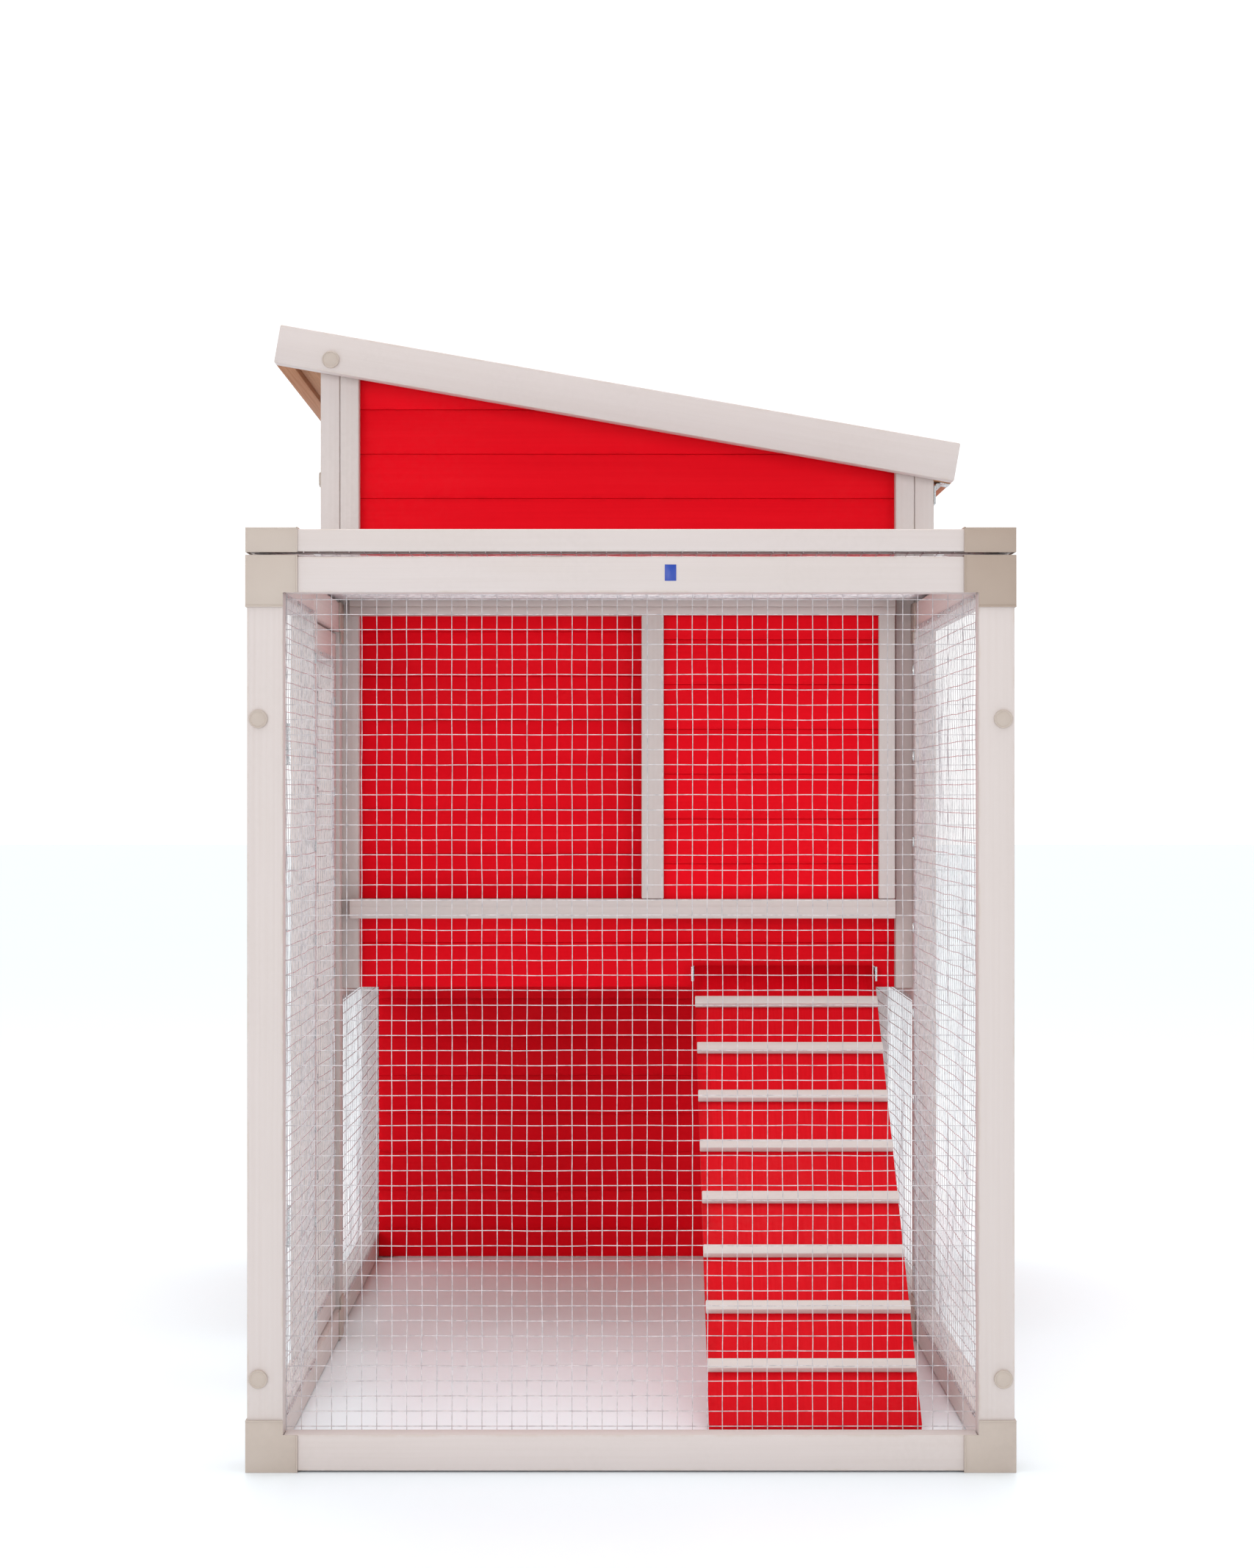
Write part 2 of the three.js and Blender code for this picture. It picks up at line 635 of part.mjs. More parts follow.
buildEndPanel();
buildEndBrackets();
buildRunSides();
buildLid();
buildHouseFrame();
buildWalls();
buildSlidingDoor();
buildHouseDoor();
buildTray();
buildRamp();
buildRoof();

// The model's box: the roof gives its width and far end, the end panel's brackets its near end.
const roofLeft = -houseX - eaveFront;
const roofRight = houseX + eaveBack + fasciaDepth * Math.sin(roofPitch);
const nearEnd = -touchGap - bracketSkin;
const farEnd = houseFar + roofFar;
hutch.position.set(-(roofLeft + roofRight) / 2, -(nearEnd + farEnd) / 2, 0);

export default hutch;
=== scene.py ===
"""A rabbit hutch: a raised red and white house with a pent roof, at one end of a wire mesh run.

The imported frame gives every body, place and size. This script adds the joinery, boards, welded
wire, corner pieces, screw caps, hinges and finishes around it. Lengths are in metres.
"""
import json
import logging
import math
import random
from collections.abc import Callable
from dataclasses import dataclass, field
from enum import Enum
from typing import ClassVar

import bpy
from mathutils import Matrix, Vector


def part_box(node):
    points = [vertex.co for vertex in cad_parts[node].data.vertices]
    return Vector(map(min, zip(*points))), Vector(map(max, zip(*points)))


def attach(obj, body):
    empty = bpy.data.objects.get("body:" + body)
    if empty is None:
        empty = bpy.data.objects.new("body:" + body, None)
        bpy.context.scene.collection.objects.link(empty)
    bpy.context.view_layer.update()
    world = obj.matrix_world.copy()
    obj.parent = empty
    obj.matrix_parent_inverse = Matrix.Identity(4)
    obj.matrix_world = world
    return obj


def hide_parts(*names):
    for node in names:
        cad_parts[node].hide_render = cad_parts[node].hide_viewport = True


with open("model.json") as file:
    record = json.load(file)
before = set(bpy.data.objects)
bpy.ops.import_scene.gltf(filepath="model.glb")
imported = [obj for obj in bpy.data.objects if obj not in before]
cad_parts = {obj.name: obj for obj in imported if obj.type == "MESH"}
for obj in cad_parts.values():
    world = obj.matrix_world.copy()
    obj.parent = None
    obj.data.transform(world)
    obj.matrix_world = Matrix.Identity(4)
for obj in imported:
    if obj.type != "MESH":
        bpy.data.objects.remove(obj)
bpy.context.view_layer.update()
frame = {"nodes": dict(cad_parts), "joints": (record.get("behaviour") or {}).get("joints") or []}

log = logging.getLogger("rabbit_hutch")
MM = 0.001
NEAR = 0.1 * MM                         # closer than this counts as the same place
ROOT = "hutch_frame"
Feed = bpy.types.NodeSocket | float | tuple      # what a shader socket can be given


class Axis(Enum):
    """A direction that a timber, a wire or a board runs in."""

    X = 0
    Y = 1
    Z = 2


class Finish(Enum):
    """The finishes that the pieces are dressed in."""

    WHITE = "painted_white"
    RED = "painted_red"
    # the ramp's red: a darker coat as painted shade, with more wear and dust
    RAMP = "ramp_red"
    BARE = "bare_wood"
    WIRE = "wire_mesh"
    PLASTIC = "corner_plastic"
    # a darker copy of the corner plastic, for corner pieces at the back, on +X
    TAN = "tan_plastic"
    STEEL = "zinc_steel"
    TRAY = "tray_plastic"
    FELT = "roof_felt"
    LABEL = "label"


# ------------------------------------------------------------------ mesh work
def clear_selection() -> None:
    """Leaves object mode on and nothing selected."""
    active = bpy.context.view_layer.objects.active
    if active is not None and active.mode != "OBJECT":
        bpy.ops.object.mode_set(mode="OBJECT")
    bpy.ops.object.select_all(action="DESELECT")


def activate(*objects: bpy.types.Object) -> None:
    """Selects these objects alone, the first one active.

    Args:
        *objects: The objects, the one to be active first.
    """
    clear_selection()
    for obj in objects:
        obj.select_set(True)
    bpy.context.view_layer.objects.active = objects[0]


def settle(obj: bpy.types.Object, place: Matrix | None = None) -> bpy.types.Object:
    """Moves an object's place into its mesh.

    Args:
        obj: The object.
        place: A matrix to put before the object's own place.

    Returns:
        The same object, at the origin, unturned and unscaled.
    """
    activate(obj)
    if place is not None:
        obj.matrix_world = place @ obj.matrix_world
    bpy.ops.object.transform_apply(location=True, rotation=True, scale=True)
    return obj


def joined(name: str, parts: list[bpy.types.Object]) -> bpy.types.Object:
    """Joins settled objects into one, and gives it a name.

    Args:
        name: The whole's name.
        parts: The objects, which become one.

    Returns:
        The whole.
    """
    activate(*parts)
    if len(parts) > 1:
        bpy.ops.object.join()
    whole = bpy.context.view_layer.objects.active
    whole.name = name
    whole.data.name = name
    return whole


def copy_of(obj: bpy.types.Object, place: Matrix) -> bpy.types.Object:
    """Copies a settled object with a mesh of its own, and settles the copy at a new place.

    Args:
        obj: A pattern that is settled.
        place: Where the copy goes and how it is turned.

    Returns:
        The copy.
    """
    twin = obj.copy()
    twin.data = obj.data.copy()
    bpy.context.scene.collection.objects.link(twin)
    twin.matrix_world = place
    return settle(twin)


def discard(obj: bpy.types.Object) -> None:
    """Deletes a pattern piece once its copies are made."""
    bpy.data.objects.remove(obj, do_unlink=True)


def apply_modifier(obj: bpy.types.Object, modifier: bpy.types.Modifier) -> None:
    """Applies one of a piece's modifiers."""
    activate(obj)
    bpy.ops.object.modifier_apply(modifier=modifier.name)


def deselect_mesh(obj: bpy.types.Object) -> None:
    """In object mode, deselects every vertex, edge and face."""
    for part in (obj.data.vertices, obj.data.edges, obj.data.polygons):
        part.foreach_set("select", [False] * len(part))


def select_faces(obj: bpy.types.Object, keep: Callable[[Vector, Vector], bool]) -> None:
    """In edit mode, selects the faces that a test of centre and normal keeps.

    Args:
        obj: The piece.
        keep: Given a face's centre and normal, whether it is wanted.
    """
    bpy.ops.object.mode_set(mode="OBJECT")
    deselect_mesh(obj)
    for face in obj.data.polygons:
        face.select = bool(keep(face.center, face.normal))
    bpy.ops.object.mode_set(mode="EDIT")
    bpy.ops.mesh.select_mode(type="FACE")


def block(name: str, low: Vector, high: Vector, edge: float, steps: int = 2) -> bpy.types.Object:
    """A box between two corners with rounded edges.

    Args:
        name: The object's name.
        low: Its lowest corner.
        high: Its highest corner.
        edge: How far the rounding reaches from each edge, or 0.
        steps: Faces across the rounding.

    Returns:
        The settled object.
    """
    clear_selection()
    low, high = Vector(low), Vector(high)
    bpy.ops.mesh.primitive_cube_add(size=1.0, location=(low + high) / 2, scale=high - low)
    obj = bpy.context.object
    obj.name = name
    bpy.ops.object.transform_apply(location=True, rotation=True, scale=True)
    if edge > 0:
        bpy.ops.object.mode_set(mode="EDIT")
        bpy.ops.mesh.select_all(action="SELECT")
        bpy.ops.mesh.bevel(offset=edge, offset_type="OFFSET", segments=steps, affect="EDGES")
        bpy.ops.object.mode_set(mode="OBJECT")
    return obj


def drum(radius: float, depth: float, sides: int, edge: float) -> bpy.types.Object:
    """A short cylinder that stands on Z = 0, with its upper rim rounded.

    Args:
        radius: Its radius.
        depth: Its height.
        sides: Faces round it.
        edge: The rounding of its upper rim.

    Returns:
        The settled piece.
    """
    clear_selection()
    bpy.ops.mesh.primitive_cylinder_add(
        vertices=sides, radius=radius, depth=depth, location=(0, 0, depth / 2))
    obj = settle(bpy.context.object)
    bpy.ops.object.mode_set(mode="EDIT")
    select_faces(obj, lambda centre, normal: normal.z > 0.9)
    bpy.ops.mesh.bevel(offset=edge, segments=3, affect="EDGES")
    bpy.ops.object.mode_set(mode="OBJECT")
    return obj


def mark_grain(obj: bpy.types.Object, along: Axis, rng: random.Random) -> None:
    """Gives a timber the coordinates that its grain and its edge wear follow.

    Args:
        obj: The timber, before it is turned into place.
        along: The direction it is cut in.
        rng: Where in the tree the timber comes from.
    """
    points = [vertex.co.copy() for vertex in obj.data.vertices]
    low = Vector([min(p[i] for p in points) for i in range(3)])
    high = Vector([max(p[i] for p in points) for i in range(3)])
    centre, half = (low + high) / 2, (high - low) / 2
    order = [(along.value + i) % 3 for i in range(3)]
    shift = [rng.uniform(0, 9) for _ in order]
    grain = obj.data.attributes.new("grain", "FLOAT_VECTOR", "POINT")
    section = obj.data.attributes.new("section", "FLOAT_VECTOR", "POINT")
    for i, point in enumerate(points):
        local = point - centre
        grain.data[i].vector = [local[o] + s for o, s in zip(order, shift)]
        section.data[i].vector = [local[o] / half[o] for o in order]


# ------------------------------------------------------------------ finishes
def srgb(red: int, green: int, blue: int) -> tuple[float, float, float, float]:
    """A colour given as screen values, in the linear values that shaders use.

    Args:
        red: Its red, 0 to 255.
        green: Its green.
        blue: Its blue.

    Returns:
        The linear colour, opaque.
    """
    linear = [(c / 255 / 12.92) if c <= 10 else ((c / 255 + 0.055) / 1.055) ** 2.4
              for c in (red, green, blue)]
    return (*linear, 1.0)


class Desk:
    """A node tree with short ways to add nodes and link them."""

    def __init__(self, tree: bpy.types.NodeTree) -> None:
        """Starts at the left of an empty tree."""
        self.tree = tree
        self.column = 0

    def add(self, kind: str, **settings: object) -> bpy.types.Node:
        """Adds a node. Settings name its properties, or its input sockets by label.

        Args:
            kind: The node's type.
            **settings: Its properties and its sockets' values.

        Returns:
            The node.
        """
        node = self.tree.nodes.new(kind)
        node.location = (self.column * 180, 0)
        self.column += 1
        for key, value in settings.items():
            label = key.replace("_", " ")
            if hasattr(node, key) and key not in node.inputs:
                setattr(node, key, value)
            else:
                self.feed(node.inputs[label if label in node.inputs else key], value)
        return node

    def feed(self, socket: bpy.types.NodeSocket, value: Feed) -> None:
        """Links an output to a socket, or sets the socket's own value.

        Args:
            socket: The input.
            value: An output or a plain value.
        """
        if isinstance(value, bpy.types.NodeSocket):
            self.tree.links.new(value, socket)
        else:
            socket.default_value = value

    def maths(self, operation: str, first: Feed, second: Feed) -> bpy.types.NodeSocket:
        """A sum on two numbers or outputs.

        Args:
            operation: The sum's name.
            first: Its first term.
            second: Its second term.

        Returns:
            The output that holds the result.
        """
        node = self.add("ShaderNodeMath", operation=operation)
        self.feed(node.inputs[0], first)
        self.feed(node.inputs[1], second)
        return node.outputs[0]

    def ramp(self, value: Feed, low: float, high: float, to_low: float = 0.0,
             to_high: float = 1.0) -> bpy.types.NodeSocket:
        """A smooth step of a value between two limits.

        Args:
            value: What is measured.
            low: Where the step starts.
            high: Where it ends.
            to_low: The result below it.
            to_high: The result above it.

        Returns:
            The output that holds the result.
        """
        node = self.add("ShaderNodeMapRange", interpolation_type="SMOOTHSTEP")
        for name, number in (("Value", value), ("From Min", low), ("From Max", high),
                             ("To Min", to_low), ("To Max", to_high)):
            self.feed(node.inputs[name], number)
        return node.outputs["Result"]

    def mix(self, share: Feed, first: Feed, second: Feed) -> bpy.types.NodeSocket:
        """A mix of two colours.

        Args:
            share: How much of the second colour, 0 to 1.
            first: A colour.
            second: Another.

        Returns:
            The output that holds the result.
        """
        node = self.add("ShaderNodeMix", data_type="RGBA")
        self.feed(node.inputs["Factor"], share)
        self.feed(node.inputs[6], first)
        self.feed(node.inputs[7], second)
        return node.outputs[2]

    def stretched(self, vector: Feed, scale: tuple[float, float, float]) -> bpy.types.NodeSocket:
        """A coordinate multiplied axis by axis.

        Args:
            vector: The coordinate.
            scale: The factor along each axis.

        Returns:
            The output that holds the result.
        """
        node = self.add("ShaderNodeVectorMath", operation="MULTIPLY")
        self.feed(node.inputs[0], vector)
        self.feed(node.inputs[1], scale)
        return node.outputs[0]

    def noise(self, vector: Feed, scale: float, detail: float = 3.0,
              roughness: float = 0.5) -> bpy.types.NodeSocket:
        """The value of a noise texture.

        Args:
            vector: The coordinate.
            scale: Its fineness.
            detail: How many finer layers it has.
            roughness: How strong they are.

        Returns:
            The output that holds the result.
        """
        node = self.add("ShaderNodeTexNoise", Scale=scale, Detail=detail, Roughness=roughness)
        self.feed(node.inputs["Vector"], vector)
        return node.outputs[0]

    def attribute(self, name: str) -> bpy.types.NodeSocket:
        """A vector attribute of the piece."""
        return self.add("ShaderNodeAttribute", attribute_name=name).outputs["Vector"]

    def object_place(self) -> bpy.types.NodeSocket:
        """The piece's own coordinates."""
        return self.add("ShaderNodeTexCoord").outputs["Object"]

    def group(self, effect: bpy.types.NodeTree, **given: bpy.types.NodeSocket) -> bpy.types.Node:
        """Adds a shared effect, with its inputs given by name.

        Args:
            effect: The node group.
            **given: What feeds each of its inputs.

        Returns:
            The group's node.
        """
        node = self.add("ShaderNodeGroup", node_tree=effect)
        for label, socket in given.items():
            self.feed(node.inputs[label], socket)
        return node


def new_group(name: str, inputs: dict[str, str], outputs: list[str]) -> tuple[
        bpy.types.NodeTree, Desk, bpy.types.Node, bpy.types.Node]:
    """Makes an empty shader node group.

    Args:
        name: The group's name.
        inputs: Each input's name and socket type.
        outputs: The names of its outputs, all numbers.

    Returns:
        The group, a desk on it, its input node and its output node.
    """
    group = bpy.data.node_groups.new(name, "ShaderNodeTree")
    for label, kind in inputs.items():
        group.interface.new_socket(label, in_out="INPUT", socket_type=kind)
    for label in outputs:
        group.interface.new_socket(label, in_out="OUTPUT", socket_type="NodeSocketFloat")
    desk = Desk(group)
    return group, desk, desk.add("NodeGroupInput"), desk.add("NodeGroupOutput")


class SharedEffects:
    """The node groups that several finishes share."""

    def __init__(self) -> None:
        """Builds each group once."""
        self.grain = self._grain()
        self.wear = self._wear()
        self.dust = self._dust()

    @staticmethod
    def _grain() -> bpy.types.NodeTree:
        """Sawn softwood: long streaks, broad figure and knots, from grain coordinates.

        Returns:
            The group.
        """
        group, desk, given, out = new_group(
            "SoftwoodGrain", {"Grain": "NodeSocketVector"}, ["Streaks", "Figure", "Knots", "Height"])
        grain = given.outputs["Grain"]
        fine = desk.noise(desk.stretched(grain, (5, 420, 420)), 1.0, 4.0, 0.6)
        broad = desk.noise(desk.stretched(grain, (1.6, 34, 34)), 1.0, 2.0)
        bent = desk.add("ShaderNodeTexWave", wave_type="BANDS", bands_direction="Y",
                        Scale=1.0, Distortion=5.0, Detail=2.0, Detail_Scale=0.7)
        desk.feed(bent.inputs["Vector"], desk.stretched(grain, (2.4, 60, 60)))
        figure = desk.maths("MULTIPLY", bent.outputs["Fac"], desk.ramp(broad, 0.35, 0.7))
        cells = desk.add("ShaderNodeTexVoronoi", Scale=1.0, Randomness=1.0)
        desk.feed(cells.inputs["Vector"], desk.stretched(grain, (3.2, 13, 13)))
        knots = desk.ramp(cells.outputs["Distance"], 0.16, 0.05)
        desk.feed(out.inputs["Streaks"], desk.ramp(fine, 0.32, 0.72))
        desk.feed(out.inputs["Figure"], figure)
        desk.feed(out.inputs["Knots"], knots)
        desk.feed(out.inputs["Height"], desk.maths("ADD", fine, desk.maths("MULTIPLY", figure, 0.6)))
        return group

    @staticmethod
    def _wear() -> bpy.types.NodeTree:
        """Rubbed long edges, from a timber's section coordinates.

        Returns:
            The group.
        """
        group, desk, given, out = new_group(
            "RubbedEdges", {"Section": "NodeSocketVector", "Grain": "NodeSocketVector"}, ["Mask"])
        size = desk.add("ShaderNodeVectorMath", operation="ABSOLUTE")
        desk.feed(size.inputs[0], given.outputs["Section"])
        split = desk.add("ShaderNodeSeparateXYZ")
        desk.feed(split.inputs[0], size.outputs[0])
        near = desk.maths("MULTIPLY", desk.ramp(split.outputs["Y"], 0.82, 0.99),
                          desk.ramp(split.outputs["Z"], 0.82, 0.99))
        broken = desk.ramp(desk.noise(given.outputs["Grain"], 34.0, 5.0, 0.7), 0.42, 0.66)
        desk.feed(out.inputs["Mask"], desk.maths("MULTIPLY", near, broken))
        return group

    @staticmethod
    def _dust() -> bpy.types.NodeTree:
        """Faint uneven soiling, from object coordinates.

        Returns:
            The group.
        """
        group, desk, given, out = new_group(
            "FaintDust", {"Place": "NodeSocketVector"}, ["Mask"])
        clouds = desk.noise(given.outputs["Place"], 5.0, 6.0, 0.65)
        specks = desk.noise(given.outputs["Place"], 210.0, 2.0)
        mask = desk.maths("MULTIPLY", desk.ramp(clouds, 0.4, 0.75), desk.ramp(specks, 0.3, 0.7))
        desk.feed(out.inputs["Mask"], mask)
        return group


def blank_material(name: str) -> tuple[bpy.types.Material, Desk, bpy.types.Node]:
    """A material with its Principled shader and a desk on its nodes.

    Args:
        name: The material's name.

    Returns:
        The material, the desk and the shader.
    """
    material = bpy.data.materials.new(name)
    material.use_nodes = True
    return material, Desk(material.node_tree), material.node_tree.nodes["Principled BSDF"]


def bump(desk: Desk, shader: bpy.types.Node, height: Feed, distance: float,
         strength: float) -> None:
    """Feeds a height to the shader's normal.

    Args:
        desk: The material's desk.
        shader: Its Principled shader.
        height: The height, 0 to 1.
        distance: How deep a height of 1 is.
        strength: The share of it that shows.
    """
    node = desk.add("ShaderNodeBump", Strength=strength, Distance=distance)
    desk.feed(node.inputs["Height"], height)
    desk.feed(shader.inputs["Normal"], node.outputs["Normal"])


@dataclass(frozen=True)
class TimberFinish:
    """Softwood, painted or bare."""

    name: str
    coat: tuple[int, int, int]      # flat colour
    hollow: tuple[int, int, int]    # in the grain's hollows
    bloom: tuple[int, int, int]     # broad cloudy variation
    worn: tuple[int, int, int]      # along rubbed edges
    roughness: float
    streaks: float                  # how far the grain shows, 0 to 1
    wear: float
    relief: float                   # bump strength
    knots: float                    # how dark the knots are, 0 to 1
    gloss: float                    # specular level
    soil: float = 0.08              # how far dust shows, 0 to 1

    def build(self, effects: SharedEffects) -> bpy.types.Material:
        """Makes the material.

        Args:
            effects: The shared node groups.

        Returns:
            The material.
        """
        material, desk, shader = blank_material(self.name)
        grain = desk.attribute("grain")
        place = desk.object_place()
        figure = desk.group(effects.grain, Grain=grain)
        wear = desk.group(effects.wear, Section=desk.attribute("section"), Grain=grain)
        dust = desk.group(effects.dust, Place=place)
        cloud = desk.ramp(desk.noise(grain, 3.2, 3.0), 0.35, 0.7)
        colour = desk.mix(desk.maths("MULTIPLY", cloud, 0.5), srgb(*self.coat), srgb(*self.bloom))
        lines = desk.maths("ADD", desk.maths("MULTIPLY", figure.outputs["Streaks"], 0.55),
                           desk.maths("MULTIPLY", figure.outputs["Figure"], 0.6))
        colour = desk.mix(desk.maths("MULTIPLY", lines, self.streaks), colour, srgb(*self.hollow))
        colour = desk.mix(desk.maths("MULTIPLY", figure.outputs["Knots"], self.knots),
                          colour, srgb(*self.worn))
        colour = desk.mix(desk.maths("MULTIPLY", wear.outputs["Mask"], self.wear),
                          colour, srgb(*self.worn))
        colour = desk.mix(desk.maths("MULTIPLY", dust.outputs["Mask"], self.soil),
                          colour, srgb(150, 140, 130))
        desk.feed(shader.inputs["Base Color"], colour)
        rough = desk.maths("ADD", self.roughness,
                           desk.maths("MULTIPLY", figure.outputs["Streaks"], 0.12))
        desk.feed(shader.inputs["Roughness"], rough)
        shader.inputs["Specular IOR Level"].default_value = self.gloss
        bump(desk, shader, figure.outputs["Height"], 0.4 * MM, self.relief)
        return material


@dataclass(frozen=True)
class WireFinish:
    """Galvanised welded wire."""

    name: str
    bright: tuple[int, int, int]
    dull: tuple[int, int, int]

    def build(self, effects: SharedEffects) -> bpy.types.Material:
        """Makes the material.

        Args:
            effects: The shared node groups.

        Returns:
            The material.
        """
        material, desk, shader = blank_material(self.name)
        place = desk.object_place()
        spangle = desk.ramp(desk.noise(place, 160.0, 3.0, 0.6), 0.35, 0.7)
        dust = desk.group(effects.dust, Place=place)
        colour = desk.mix(spangle, srgb(*self.bright), srgb(*self.dull))
        desk.feed(shader.inputs["Base Color"], colour)
        rough = desk.maths("ADD", 0.3, desk.maths("MULTIPLY", dust.outputs["Mask"], 0.3))
        desk.feed(shader.inputs["Roughness"], rough)
        shader.inputs["Metallic"].default_value = 0.4
        bump(desk, shader, desk.noise(place, 900.0, 2.0), 0.05 * MM, 0.3)
        return material


@dataclass(frozen=True)
class MouldedFinish:
    """Moulded plastic or printed film with a fine eggshell surface."""

    name: str
    body: tuple[int, int, int]
    pale: tuple[int, int, int]
    roughness: float
    texture: float = 0.25

    def build(self, effects: SharedEffects) -> bpy.types.Material:
        """Makes the material.

        Args:
            effects: The shared node groups.

        Returns:
            The material.
        """
        material, desk, shader = blank_material(self.name)
        place = desk.object_place()
        dust = desk.group(effects.dust, Place=place)
        flow = desk.ramp(desk.noise(place, 24.0, 4.0), 0.3, 0.75)
        colour = desk.mix(desk.maths("MULTIPLY", flow, 0.45), srgb(*self.body), srgb(*self.pale))
        colour = desk.mix(desk.maths("MULTIPLY", dust.outputs["Mask"], 0.12),
                          colour, srgb(120, 112, 104))
        desk.feed(shader.inputs["Base Color"], colour)
        pits = desk.noise(place, 1400.0, 2.0)
        desk.feed(shader.inputs["Roughness"],
                  desk.maths("ADD", self.roughness, desk.maths("MULTIPLY", pits, 0.12)))
        bump(desk, shader, pits, 0.08 * MM, self.texture)
        return material


@dataclass(frozen=True)
class PlatedFinish:
    """Zinc-plated steel, a little brushed."""

    name: str
    bright: tuple[int, int, int]
    dull: tuple[int, int, int]

    def build(self, effects: SharedEffects) -> bpy.types.Material:
        """Makes the material.

        Args:
            effects: The shared node groups.

        Returns:
            The material.
        """
        material, desk, shader = blank_material(self.name)
        place = desk.object_place()
        dust = desk.group(effects.dust, Place=place)
        brushed = desk.noise(desk.stretched(place, (900, 60, 900)), 1.0, 3.0)
        colour = desk.mix(desk.ramp(brushed, 0.3, 0.7), srgb(*self.bright), srgb(*self.dull))
        desk.feed(shader.inputs["Base Color"], colour)
        desk.feed(shader.inputs["Roughness"],
                  desk.maths("ADD", 0.28, desk.maths("MULTIPLY", dust.outputs["Mask"], 0.35)))
        shader.inputs["Metallic"].default_value = 1.0
        bump(desk, shader, brushed, 0.05 * MM, 0.2)
        return material


@dataclass(frozen=True)
class FeltFinish:
    """Mineral roofing felt."""

    name: str
    stone: tuple[int, int, int]
    chip: tuple[int, int, int]

    def build(self, effects: SharedEffects) -> bpy.types.Material:
        """Makes the material.

        Args:
            effects: The shared node groups.

        Returns:
            The material.
        """
        material, desk, shader = blank_material(self.name)
        place = desk.object_place()
        chips = desk.add("ShaderNodeTexVoronoi", Scale=750.0, Randomness=1.0)
        desk.feed(chips.inputs["Vector"], place)
        shade = desk.ramp(desk.noise(place, 420.0, 3.0), 0.35, 0.7)
        colour = desk.mix(shade, srgb(*self.stone), srgb(*self.chip))
        dust = desk.group(effects.dust, Place=place)
        colour = desk.mix(desk.maths("MULTIPLY", dust.outputs["Mask"], 0.25),
                          colour, srgb(140, 138, 128))
        desk.feed(shader.inputs["Base Color"], colour)
        shader.inputs["Roughness"].default_value = 0.92
        bump(desk, shader, chips.outputs["Distance"], 0.5 * MM, 0.8)
        return material


